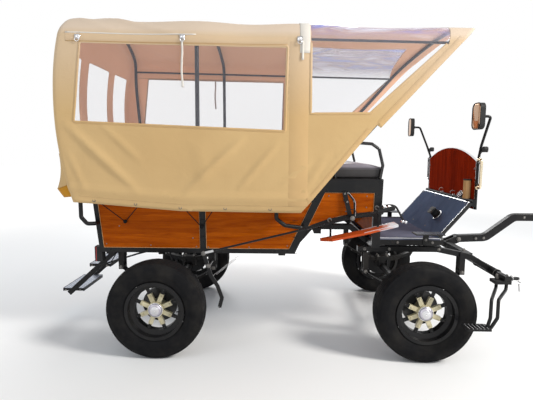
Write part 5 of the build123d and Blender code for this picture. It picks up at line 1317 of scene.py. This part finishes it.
def dress_pole():
    """Side plates, bolts and the leather-wrapped tip of the pole."""
    plates, bolts, wrap = meshes(3)
    for side in SIDES:
        y = side * 0.0315
        add_bar(plates, at(2.46, y, 0.706), at(2.555, y, 0.712), 0.044, 0.004)
        for reach, z in ((2.475, 0.707), (2.54, 0.711)):
            add_bolt(bolts, at(reach, side * 0.0335, z), (0, side, 0), 0.008, 0.006)
        for reach in (2.86, 2.98):
            add_bolt(bolts, at(reach, side * 0.0302, POLE_Z), (0, side, 0), 0.008, 0.006)
    for reach in (4.62, 4.78):
        for way in SIDES:
            band = at(reach, 0, POLE_Z - way * POLE_HALF)
            add_block(plates, band, (0.026, 0.062, 0.002), None, 0.0008)
        for way in SIDES:
            band = at(reach, way * POLE_HALF, POLE_Z)
            add_block(plates, band, (0.026, 0.002, 0.062), None, 0.0008)
    outline = rounded(rectangle(0.0315, 0.0315, b=POLE_Z), 0.009, 3)
    for i in range(13):
        add_loop(wrap, [at(4.642 + 0.0095 * i, p.x, p.y) for p in outline], 0.0046, 6)
    fitting("pole_plates", plates, BLACK, "pole")
    fitting("pole_bolts", bolts, BOLT, "pole")
    from_bmesh("pole_wrap", wrap, VINYL, "pole")


def add_chequer(bm, middle, columns, rows, pitch, size):
    """Raised pads in a grid, each turned across its neighbours."""
    for i in range(columns):
        for j in range(rows):
            spot = middle + Vector((pitch[0] * i, pitch[1] * j, 0))
            turn = Matrix.Rotation(math.radians(45 if (i + j) % 2 else -45), 3, "Z")
            add_block(bm, spot, size, turn, 0)


TOE_FOOT, TOE_RISE, TOE_RUN = (2.005, 0.800), 0.256, 0.217
TOE_HALF, TOE_TOP = 0.479, 0.3305


def dress_toe_board(bolts, black, bright):
    """Screws, edge bars, and the pedal's bellows on the sloping toe-board."""
    slope = math.atan2(TOE_RISE, TOE_RUN)
    along = Vector((math.cos(slope), 0, math.sin(slope)))
    normal = Vector((-math.sin(slope), 0, math.cos(slope)))

    def on_toe(up, y, lift=0.015):
        return at(TOE_FOOT[0], y, TOE_FOOT[1]) + along * up + normal * lift

    for y in (-0.44, -0.15, 0.15, 0.44):
        for up in (0.030, 0.310):
            add_screw(bolts, on_toe(up, y), normal, 0.006, 0.003)
    top = [on_toe(TOE_TOP, side * TOE_HALF, 0.0145) for side in SIDES]
    add_bar(bright, *top, 0.005, 0.004, normal, 0.001)
    for y in (-0.486, 0.486):
        add_bar(black, on_toe(0.004, y, 0.0045), on_toe(0.334, y, 0.0045), 0.024, 0.011, edge=0.002)
    # painted highlights: a thin bright strip on top of each black side bar, for the bar's highlight
    # line
    for side in SIDES:
        ends = [on_toe(up, side * TOE_HALF, 0.0160) for up in (0.004, 0.330)]
        add_bar(bright, *ends, 0.004, 0.004, normal, 0.0008)
    base = on_toe(0.150, -0.200)
    shape = [(0.006, 0.0240)]
    for i in range(7):
        rise = 0.0075 + 0.0045 * i
        shape += [(rise, 0.0345 - 0.0006 * i), (rise + 0.00225, 0.0300)]
    shape += [(0.042, 0.0290), (0.060, 0.0270), (0.069, 0.0300), (0.071, 0.0290), (0.072, 0.0200)]
    add_lathe(black, base, normal, shape, 28)
    add_ring(bright, base + normal * 0.0050, normal, 0.0385, 0.0034, 36, 8)
    across = Vector((0, 0.034, 0))
    for i in range(6):
        spot = base + normal * 0.0725 + along * (-0.022 + 0.0088 * i)
        add_bar(black, spot - across, spot + across, 0.0036, 0.003, normal, 0.0008)


def dress_deck():
    """Chequer pads, board bolts, the knob on the deck and its lever, and the toe-board."""
    pads, bolts, black, knob, bright = meshes(5)
    for side in SIDES:
        corner = at(1.816, side * 0.512, 0.848)
        add_chequer(pads, corner, 9, 4, (0.021, side * 0.025), (0.016, 0.0045, 0.0026))
        rim = ((1.800, 0.502), (1.800, 0.599), (2.000, 0.599), (2.000, 0.502))
        add_tube(black, [at(reach, side * y, 0.844) for reach, y in rim], 0.0035, 6)
        add_bolt(bolts, at(1.90, side * 0.508, 0.79), (0, side, 0), 0.007, 0.005)
        for reach in (1.54, 1.70, 1.95):
            add_bolt(bolts, at(reach, side * 0.470, 0.800), UP, 0.006, 0.003)
            add_bolt(bolts, at(reach, side * 0.500, 0.768), (0, side, 0), 0.007, 0.006)
    dress_toe_board(bolts, black, bright)
    # painted highlight: a thin bright strip along each deck edge, for the edge's highlight line
    for side in SIDES:
        ends = [at(reach, side * 0.4985, 0.8000) for reach in (1.53, 2.00)]
        add_bar(bright, *ends, 0.004, 0.004, UP, 0.0008)
    # hand lever bent forward from the seat pillar, with its pale double knob
    route = (
        (1.530, -0.575, 1.012), (1.560, -0.560, 1.040), (1.632, -0.540, 1.047),
        (1.672, -0.520, 1.034), (1.735, -0.500, 0.930),
    )
    add_pipe(black, route, 0.0070, 9, 0.03, 5)
    add_block(black, at(1.552, -0.578, 1.010), (0.030, 0.040, 0.050), None, 0.004)
    collar = ((0, 0.0085), (0.002, 0.0105), (0.018, 0.0105), (0.020, 0.0085))
    for reach in (1.570, 1.604):
        add_lathe(bright, at(reach, -0.556, 1.036), (1, 0.28, 0.1), collar, 14)
    ball = (
        (0, 0.004), (0.003, 0.009), (0.009, 0.0125), (0.016, 0.0125), (0.022, 0.009),
        (0.025, 0.004),
    )
    for reach, z in ((1.728, 0.909), (1.752, 0.903)):
        add_lathe(knob, at(reach, -0.500, z), UP, ball, 18)
    fitting("deck_studs", pads, PLATE)
    fitting("deck_bolts", bolts, BOLT)
    fitting("deck_fittings_black", black, PLASTIC)
    fitting("deck_knob", knob, CHROME)
    fitting("deck_edging_and_highlights", bright, ALUMINIUM)


MIRROR_REACH, MIRROR_Y, MIRROR_Z = 2.118, 0.705, 1.653
LAMP_Y, LAMP_Z = 0.52, 1.44


def dress_mirror(black, glass, side):
    """Rim, glass and back nut of a mirror."""
    turn = math.radians(3)
    facing = Vector((-math.cos(turn), side * math.sin(turn), 0))
    sideways = Vector((math.sin(turn) * side, math.cos(turn), 0))
    centre = at(MIRROR_REACH, side * MIRROR_Y, MIRROR_Z)

    def outline(half_y, half_z, corner, lift, share=1.0):
        line = rounded(rectangle(half_y, half_z), corner, 8)
        return [
            centre + sideways * p.x * share + Vector((0, 0, p.y * share)) + facing * lift
            for p in line
        ]

    add_loop(black, outline(0.053, 0.083, 0.034, 0.0005), 0.0042, 8)
    edge = [glass.verts.new(p) for p in outline(0.050, 0.080, 0.032, 0.0008)]
    inner = [glass.verts.new(p) for p in outline(0.050, 0.080, 0.032, 0.0024, 0.9)]
    stitch(glass, [edge, inner], closed=True)
    glass.faces.new(inner)
    nut = ((-0.001, 0.020), (0.006, 0.018), (0.014, 0.012), (0.020, 0.012))
    add_lathe(black, centre - facing * 0.030, -facing, nut, 18)


def dress_dash():
    """Handle sleeves, board bolts, whip-holder cap, rein buckles, lamp and mirror fronts."""
    chrome, brass, black, glass, lens, bolts = meshes(6)
    post, high, low = 2.252, 1.368, 1.168
    for side, target in zip(SIDES, (brass, chrome)):
        bow = ((post, 0.486, high), (post, 0.526, high), (post, 0.526, low), (post, 0.486, low))
        add_pipe(target, bow, 0.0100, 12, 0.020, 6, side)
        for z in (high, low):
            foot = at(post, side * 0.484, z)
            flange = ((0, 0.0135), (0.004, 0.0135), (0.006, 0.0095))
            add_lathe(target, foot, (0, side, 0), flange, 16)
        for z in (1.06, 1.30):
            add_screw(bolts, at(2.2430, side * 0.450, z), BACK, 0.0075, 0.004)
            add_bolt(bolts, at(2.2610, side * 0.450, z), AHEAD, 0.007, 0.006)
        # lamp: bezel, dome and the cable behind it
        add_ring(chrome, at(2.2885, side * LAMP_Y, LAMP_Z), AHEAD, 0.0195, 0.0024, 28, 8)
        dome = ((0, 0.0172), (0.002, 0.0165), (0.004, 0.012), (0.005, 0.003))
        add_lathe(lens, at(2.2895, side * LAMP_Y, LAMP_Z), AHEAD, dome, 24)
        cable = (
            (2.262, 0.512, 1.43), (2.248, 0.500, 1.40), (2.250, 0.486, 1.33), (2.250, 0.487, 1.24),
        )
        add_pipe(black, cable, 0.0028, 7, 0.02, 5, side)
        dress_mirror(black, glass, side)
        # rein rings on the toe rail
        add_ring(chrome, at(2.232, side * 0.12, 1.098), (0.2, 1, 0), 0.018, 0.0032, 24, 8)
        socket = ((-0.001, 0.009), (0.003, 0.009), (0.004, 0.005), (0.008, 0.005))
        add_lathe(chrome, at(2.232, side * 0.12, 1.0805), UP, socket, 12)
    # whip-holder: rubber lip, two bands, and the buckle plate beside it
    lip = ((0.132, 0.0265), (0.134, 0.0285), (0.139, 0.0285), (0.1405, 0.0265))
    add_lathe(black, at(2.217, -0.400, 1.083), UP, lip, 28)
    add_block(black, at(2.222, -0.325, 1.104), (0.036, 0.060, 0.044), None, 0.004)
    for y, z in ((-0.345, 1.118), (-0.322, 1.106), (-0.300, 1.096)):
        add_ring(chrome, at(2.202, y, z), (1, 0.2, 0.2), 0.014, 0.0042, 20, 8)
    for y in (-0.20, 0.0, 0.20):
        add_bolt(bolts, at(2.223, y, 1.056), BACK, 0.007, 0.006)
    fitting("dash_chrome", chrome, CHROME)
    fitting("dash_brass", brass, BRASS)
    fitting("dash_black", black, PLASTIC)
    fitting("dash_bolts", bolts, BOLT)
    # the mirror glass carries a painted reflection of the canvas
    fitting("mirror_glass", glass, MIRROR_PAINTED_REFLECTION)
    fitting("lamp_lenses", lens, CLEAR_LENS)


LEVER_PIVOT = (1.330, 0.979)
GRIP_RIDGES, COILS, COIL_R, COIL_STEPS = 14, 16, 0.0075, 8


def add_coil(bm, first, last):
    """A coil spring with straight ends."""
    a, b, _ = frame_of(last - first)
    line = [first]
    for i in range(COILS * COIL_STEPS + 1):
        t = i / (COILS * COIL_STEPS)
        angle = 2 * math.pi * COILS * t
        spot = first.lerp(last, 0.12 + 0.76 * t)
        line.append(spot + (a * math.cos(angle) + b * math.sin(angle)) * COIL_R)
    add_tube(bm, line + [last], 0.0014, 5)


def dress_brake():
    """Ribbed grip, pins, fork end, return spring, and the hinged lever on the seat panel."""
    grip, steel, black, bolts = meshes(4)
    low, high = at(1.499, -0.716, 1.021), at(1.607, -0.716, 1.048)
    length = (high - low).length
    shape = [(-0.002, 0.0122)]
    for i in range(GRIP_RIDGES):
        for share, radius in ((0.0, 0.0152), (0.6, 0.0152), (0.7, 0.0132)):
            shape.append((length * (i + share) / GRIP_RIDGES, radius))
    shape += [(length, 0.0140), (length + 0.005, 0.0090)]
    add_lathe(grip, low, high - low, shape, 18)
    crank = (0.360, -0.720, 0.640), (0.327, -0.720, 0.727)
    for pin in ((LEVER_PIVOT[0], -0.728, LEVER_PIVOT[1]), *crank):
        add_bolt(bolts, at(*pin), RIGHT, 0.012, 0.009)
    add_bar(steel, at(0.335, -0.7215, 0.731), at(0.395, -0.7215, 0.746), 0.016, 0.003)
    for reach, z in ((1.287, 1.136), (1.304, 1.080)):
        add_bolt(bolts, at(reach, -0.6535, z), RIGHT, 0.007, 0.006)
    # toothed quadrant behind the lever
    for i in range(9):
        angle = math.radians(20 + 8 * i)
        x, z = 0.050 * math.cos(angle), 0.050 * math.sin(angle)
        place = at(LEVER_PIVOT[0] + x, -0.656, LEVER_PIVOT[1] + z)
        add_block(black, place, (0.005, 0.006, 0.006), Matrix.Rotation(-angle, 3, "Y"), 0.0006)
    # return spring from the crank to the frame, and the hook at the crank's foot
    add_coil(steel, at(0.385, -0.702, 0.560), at(0.560, -0.640, 0.690))
    add_ring(steel, at(0.435, -0.718, 0.343), LEFT, 0.011, 0.003, 18, 7, 0.1, 0.7)
    # hinged lever in front of the seat panel; the bright steel strip along its front edge is a
    # painted highlight
    route = ((1.308, -0.652, 1.141), (1.354, -0.652, 1.085), (1.357, -0.644, 0.967))
    strap = bend([at(*spot) for spot in route], 0.02, 4)
    lip = Vector((0.0072, -0.0008, 0))
    for a, b in zip(strap, strap[1:]):
        add_bar(black, a, b + (b - a) * 0.02, 0.013, 0.0045, edge=0.001)
        add_bar(steel, a + lip, b + lip, 0.0030, 0.0035, edge=0.0008)
    add_block(black, at(1.292, -0.652, 1.108), (0.026, 0.010, 0.050), None, 0.003)
    for p in (strap[0], strap[len(strap) // 2], strap[-1]):
        add_bolt(bolts, p + Vector((0, -0.0022, 0)), RIGHT, 0.0055, 0.005)
    fitting("brake_grip", grip, PLASTIC)
    fitting("brake_steel", steel, STEEL)
    fitting("brake_bolts", bolts, BOLT)
    fitting("brake_black", black, BLACK)


TAIL_LAMP_Y, TAIL_LAMP_Z = 0.530, 0.675
DOOR_LEAN = 0.06
REAR_STEPS = ((-0.615, 0.500), (-0.845, 0.292))  # reach and height of each tread


def dress_tail_lamp(lamps, ribs, bolts, side):
    """Frame, screws, ribbed lens and cable of a tail lamp."""
    y, z = side * TAIL_LAMP_Y, TAIL_LAMP_Z
    frame_line = rounded(rectangle(0.029, 0.054, y, z), 0.006, 3)
    add_loop(lamps, [at(-0.4905, p.x, p.y) for p in frame_line], 0.0030, 7)
    for dz in (-0.046, 0.046):
        add_screw(bolts, at(-0.4922, y, z + dz), BACK, 0.0034, 0.002)
    for i in range(11):
        add_block(ribs, at(-0.4924, y, 0.640 + 0.007 * i), (0.0014, 0.048, 0.0042), None, 0.0004)
    add_ring(ribs, at(-0.4922, y, z), AHEAD, 0.021, 0.0016, 26, 6)
    cable = ((-0.445, 0.53, 0.62), (-0.44, 0.52, 0.595), (-0.40, 0.50, 0.60), (-0.36, 0.45, 0.685))
    add_pipe(lamps, cable, 0.0035, 7, 0.03, 4, side)


def dress_rear():
    """Chequer pattern and edging of the steps, lamp frames, door handle, latch and hinge screws."""
    plates, edges, lamps, door, door_screws, bolts, ribs = meshes(7)
    for reach, z in REAR_STEPS:
        corner = at(reach - 0.069, -0.1725, z)
        add_chequer(plates, corner, 7, 16, (0.023, 0.023), (0.018, 0.0062, 0.0026))
        for way in SIDES:
            lip = at(reach + way * 0.0841, 0, z - 0.010)
            add_block(edges, lip, (0.003, 0.388, 0.026), None, 0.001)
            lip = at(reach, way * 0.1935, z - 0.009)
            add_block(edges, lip, (0.170, 0.003, 0.022), None, 0.001)
            for spot in (-0.06, 0.06):
                bolt = at(reach + spot, way * 0.199, z - 0.012)
                add_bolt(bolts, bolt, (0, way, 0), 0.006, 0.006)
    for side in SIDES:
        dress_tail_lamp(lamps, ribs, bolts, side)
    lean = Vector((-1, 0, -DOOR_LEAN)).normalized()
    plate = at(-0.4555, -0.195, 1.010)
    turn = Matrix.Rotation(-DOOR_LEAN, 3, "Y")
    add_block(door, plate, (0.004, 0.030, 0.090), turn, 0.0015)
    neck = plate + Vector((-0.001, 0, 0.015))
    add_lathe(door, neck, lean, ((0, 0.010), (0.020, 0.009), (0.024, 0.006)), 16)
    route = ((-0.020, 0, 0.015), (-0.026, 0.030, 0.015), (-0.024, 0.085, 0.011))
    add_tube(door, bend([plate + Vector(spot) for spot in route], 0.02, 4), 0.0060, 10)
    add_ring(door, plate + Vector((-0.002, 0, -0.026)), lean, 0.006, 0.0018, 16, 6)
    for dz in (-0.038, 0.038):
        add_screw(door, plate + Vector((-0.002, 0, dz)), lean, 0.0034, 0.002)
    for rise in (0.7905, 0.9795):
        for y in (0.222, 0.238):
            for z in (rise - 0.011, rise + 0.011):
                spot = at(-0.4372 - DOOR_LEAN * (z - TUB_Z), y, z)
                add_screw(door_screws, spot, lean, 0.0036, 0.0022)
    fitting("tread_chequer", plates, ALUMINIUM)
    fitting("tread_edging", edges, BLACK)
    fitting("tail_lamp_frames", lamps, PLASTIC)
    fitting("tail_lamp_ribs", ribs, RED_LENS)
    fitting("rear_bolts", bolts, BOLT)
    fitting("door_handle", door, CHROME, "rear_door")
    fitting("door_screws", door_screws, STEEL, "rear_door")


SEAT_RAILS = (1.154, 1.220)


def fender_z(reach):
    """Upper face of the fender board, which is steeper in front."""
    return 0.828 + (reach - 1.123) * 0.2115 if reach < 1.402 else 0.887 + (reach - 1.402) * 0.26


def dress_frame():
    """Bolts of the rails, seat frame and fenders, brake lines along the axles, and weld beads."""
    bolts, lines, welds, tips, rails = meshes(5)
    for side in SIDES:
        out = (0, side, 0)
        for reach in (-0.30, -0.02, 0.28, 0.34, 0.84):
            add_bolt(bolts, at(reach, side * 0.425, 0.700), out, 0.008, 0.006)
        for reach in (1.22, 1.34, 1.46):
            add_bolt(bolts, at(reach, side * 0.5455, 1.187), out, 0.007, 0.005)
        for z in SEAT_RAILS:
            add_block(rails, at(1.376, side * 0.5475, z), (0.362, 0.007, 0.020), None, 0.003)
        for y in (0.12, 0.30, 0.48):
            add_bolt(bolts, at(1.5575, side * y, 1.187), AHEAD, 0.007, 0.005)
        # each fender stay's foot on the board and its upper end on the tub
        for reach, z in ((1.19, 0.950), (1.51, 1.040)):
            foot = at(reach, side * 0.690, fender_z(reach))
            add_lathe(bolts, foot, (-0.2, 0, 1), ((0, 0.010), (0.002, 0.010), (0.005, 0.006)), 14)
            top = at(reach, side * (tub_y(z) + 0.001), z)
            flange = ((0, 0.016), (0.003, 0.016), (0.004, 0.009))
            add_lathe(bolts, top, (0, side, -TUB_FLARE), flange, 16)
        # edge strips of the fender board
        for y in (0.6615, 0.7685):
            ends = at(1.402, side * y, 0.8885), at(1.622, side * y, 0.9455)
            add_bar(tips, *ends, 0.003, 0.003, UP, 0.0008)
        # bracket bolt of the front bow, and weld beads of the tub's posts
        add_bolt(bolts, at(0.96, side * 0.690, 1.084), DOWN, 0.0075, 0.006)
        for reach in (0.305, 0.952):
            for z in (0.735, 0.855, 0.975):
                y = side * (tub_y(z) + 0.0002)
                bead = [at(reach + 0.009 * i, y, z - 0.033) for i in range(-2, 3)]
                add_tube(welds, bead, 0.0018, 6)
    pipe = (
        (-0.020, 0.588, 0.420), (-0.045, 0.560, 0.405), (-0.036, 0.480, 0.368),
        (-0.036, 0.02, 0.368),
    )
    for side in SIDES:
        add_pipe(lines, pipe, 0.0038, 8, 0.03, 5, side)
    hose = ((-0.036, 0.0, 0.372), (-0.060, 0.0, 0.46), (-0.10, 0.02, 0.56), (-0.06, 0.03, 0.665))
    add_pipe(lines, hose, 0.0065, 9, 0.06, 6)
    fitting("frame_bolts", bolts, BOLT)
    fitting("brake_lines", lines, PLASTIC)
    fitting("frame_welds", welds, BLACK)
    for z in SEAT_RAILS:
        add_block(rails, at(1.5595, 0, z), (0.007, 1.088, 0.020), None, 0.003)
    fitting("seat_rails", rails, GLOSS)
    fitting("fender_edging", tips, ALUMINIUM)


# Cushions

SETTLE_FRAMES = 20
BENCH_SEATS = 3


def seam_test(node):
    """Tells whether a place lies on a seam of a cushion, which the stuffing can't lift."""
    low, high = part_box(node)

    def rim(p, *axes):
        return min(min(p[i] - low[i], high[i] - p[i]) for i in axes)

    def on_middle(p):
        return abs(p.y) < 0.005

    def on_joint(p):
        along = (p.x - low.x) / (high.x - low.x) * BENCH_SEATS
        return abs(along - round(along)) * (high.x - low.x) / BENCH_SEATS < 0.006

    def driver(p):
        edge = rim(p, 0, 1) < 0.012 and p.z > high.z - 0.052
        return p.z < low.z + 0.016 or edge or on_middle(p)

    return {
        "driver_cushion": driver,
        "driver_back": lambda p: rim(p, 1, 2) < 0.012 or on_middle(p),
        "bench_cushions": lambda p: p.z < low.z + 0.014 or on_joint(p),
        "bench_backs": lambda p: rim(p, 2) < 0.012 or on_joint(p),
    }[node]


def add_stuffing(pad):
    """Cloth that air pressure swells, held at its seams."""
    cloth = add_modifier(pad, "CLOTH")
    cloth.settings.quality = 4
    cloth.settings.use_pressure = True
    cloth.settings.uniform_pressure_force = 4.0
    cloth.settings.tension_stiffness = 12.0
    cloth.settings.compression_stiffness = 12.0
    cloth.settings.bending_stiffness = 2.0
    cloth.settings.vertex_group_mass = "seams"
    cloth.settings.effector_weights.gravity = 0.0
    cloth.collision_settings.use_collision = False
    cloth.point_cache.frame_start = 1
    cloth.point_cache.frame_end = SETTLE_FRAMES


def stuff_cushions():
    """Blows each cushion up as sewn cloth over the CAD pad, with its seams held."""
    scene = bpy.context.scene
    plan = (
        # node, voxel, how far a face may rise, fill
        ("driver_cushion", 0.009, 0.011, 0.85),
        ("driver_back", 0.010, 0.012, 0.8),
        ("bench_cushions", 0.014, 0.012, 0.8),
        ("bench_backs", 0.014, 0.012, 0.75),
    )
    pads = []
    for node, voxel, rise, fill in plan:
        mesh = NODES[node].data.copy()
        mesh.materials.clear()
        pad = adopt(node + "_stuffed", mesh, VINYL)
        remesh = add_modifier(pad, "REMESH", mode="VOXEL", voxel_size=voxel)
        view = bpy.context.evaluated_depsgraph_get()
        baked = bpy.data.meshes.new_from_object(pad.evaluated_get(view))
        pad.modifiers.remove(remesh)
        pad.data = baked
        on_seam = seam_test(node)
        seams = [v.index for v in baked.vertices if on_seam(v.co)]
        normals = [v.normal.copy() for v in baked.vertices]
        for v, normal in zip(baked.vertices, normals):
            v.co -= normal * 0.002
        pad.vertex_groups.new(name="seams").add(seams, 1.0, "REPLACE")
        pads.append((pad, [v.co.copy() for v in baked.vertices], rise))
        baked.shade_smooth()
        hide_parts(node)
        add_stuffing(pad)
    for step in range(1, SETTLE_FRAMES + 1):
        scene.frame_set(step)
    view = bpy.context.evaluated_depsgraph_get()
    for pad, start, rise in pads:
        puffed = bpy.data.meshes.new_from_object(pad.evaluated_get(view))
        for v, place in zip(puffed.vertices, start):
            move = v.co - place
            v.co = place + move.normalized() * min(move.length, rise)
        pad.modifiers.clear()
        pad.data = puffed
        puffed.shade_smooth()
        add_modifier(pad, "SUBSURF", levels=1, render_levels=1)
    scene.frame_set(1)


def pipe_cushions():
    """Piping along the upper edges of the driver's cushion and back, and buttons on the back."""
    piping, knobs = meshes(2)
    outline = rounded(rectangle(0.178, 0.540, 1.376), 0.020, 4)
    add_loop(piping, [at(p.x, p.y, 1.309) for p in outline], 0.0042, 8)
    for z, reach in ((1.354, 1.256), (1.616, 1.217)):
        ends = at(reach, -0.538, z), at(reach, 0.538, z)
        add_tube(piping, between_points(*ends, 12), 0.0038, 8)
    knob = ((-0.001, 0.010), (0.004, 0.009), (0.007, 0.005))
    for y in (-0.36, -0.18, 0.18, 0.36):
        for z in (1.43, 1.54):
            reach = 1.258 - (z - 1.354) * 0.149
            add_lathe(knobs, at(reach, y, z), (1, 0, 0.15), knob, 14)
    from_bmesh("cushion_piping", piping, VINYL)
    from_bmesh("cushion_buttons", knobs, VINYL)


sew_canopy()
for name, (reach, y) in WHEELS.items():
    build_tyre(name, reach, y)
stuff_cushions()
pipe_cushions()
dress_sides()
dress_springs()
dress_wheels()
dress_gear()
dress_pole()
dress_deck()
dress_dash()
dress_brake()
dress_rear()
dress_frame()

# Stage, light and camera

FLOOR_HALF = 30
floor_paint = Paint("floor_pale", rough=0.9)
squares = (floor_paint.math("POWER", floor_paint.axis(name), 2) for name in "XY")
away = floor_paint.math("MULTIPLY", floor_paint.math("ADD", *squares), 0.008)
fade = floor_paint.ramp(away, (0.08, 0.0), (0.5, 1.0))
pale = floor_paint.ramp(fade, (0.0, 0.86), (1.0, 0.0))
floor_paint.feed(Base_Color=pale, Emission_Color=fade, Emission_Strength=1.0)
corners = [(x, y, 0) for x, y in rectangle(FLOOR_HALF, FLOOR_HALF)]
floor = bpy.data.meshes.new("floor")
floor.from_pydata(corners, [], [(0, 1, 2, 3)])
floor.materials.append(floor_paint.mat)
floor_obj = bpy.data.objects.new("floor", floor)
bpy.context.scene.collection.objects.link(floor_obj)

# the world lights the object softly, and looks white to the camera and in reflections
world = bpy.data.worlds.new("studio")
bpy.context.scene.world = world
world.use_nodes = True
tree = world.node_tree
tree.nodes.clear()


def background(color, strength):
    node = tree.nodes.new("ShaderNodeBackground")
    node.inputs["Color"].default_value = (*color, 1)
    node.inputs["Strength"].default_value = strength
    return node.outputs[0]


def either(first, second):
    node = tree.nodes.new("ShaderNodeMath")
    node.operation = "MAXIMUM"
    tree.links.new(first, node.inputs[0])
    tree.links.new(second, node.inputs[1])
    return node.outputs[0]


rays = tree.nodes.new("ShaderNodeLightPath").outputs
seen = either(either(rays["Is Camera Ray"], rays["Is Glossy Ray"]), rays["Is Transmission Ray"])
mixer = tree.nodes.new("ShaderNodeMixShader")
sky, white = background((0.9, 0.95, 1.0), 0.55), background((1, 1, 1), 1.0)
for socket, output in zip(mixer.inputs, (seen, sky, white)):
    tree.links.new(output, socket)
tree.links.new(mixer.outputs[0], tree.nodes.new("ShaderNodeOutputWorld").inputs[0])


def area_light(name, place, target, size, power, color=(1, 1, 1)):
    data = bpy.data.lights.new(name, "AREA")
    data.shape = "RECTANGLE"
    data.size, data.size_y = size
    data.energy = power
    data.color = color
    obj = bpy.data.objects.new(name, data)
    bpy.context.scene.collection.objects.link(obj)
    obj.location = place
    look = Vector(target) - Vector(place)
    obj.rotation_euler = look.to_track_quat("-Z", "Y").to_euler()


area_light("key", (4.6, -3.4, 5.0), (-1.2, -0.4, 1.2), (1.6, 1.6), 560, (1.0, 0.97, 0.92))
area_light("fill", (-6.5, -4.0, 3.2), (-1.2, 0, 1.0), (3.0, 3.0), 60, (0.93, 0.96, 1.0))
area_light("back", (-1.5, 5.5, 4.5), (-1.0, 0, 1.2), (4.0, 2.5), 260)

CAMERA_PLACE, CAMERA_LENS = (-1.162, -3.564, 1.433), 28.90
YAW, PITCH, ROLL = math.radians(-1.434), math.radians(6.740), math.radians(0.25)
flat = math.cos(PITCH)
ahead = Vector((math.sin(YAW) * flat, math.cos(YAW) * flat, -math.sin(PITCH)))
level = Vector((math.cos(YAW), -math.sin(YAW), 0))
over = level.cross(ahead)
right = math.cos(ROLL) * level + math.sin(ROLL) * over
above = -math.sin(ROLL) * level + math.cos(ROLL) * over
camera_data = bpy.data.cameras.new("camera")
camera_data.sensor_width = 36.0
camera_data.lens = CAMERA_LENS
camera = bpy.data.objects.new("camera", camera_data)
bpy.context.scene.collection.objects.link(camera)
turn = Matrix((right, above, -ahead)).transposed()
camera.matrix_world = Matrix.Translation(CAMERA_PLACE) @ turn.to_4x4()
bpy.context.scene.camera = camera
bpy.context.scene.view_settings.view_transform = "Standard"
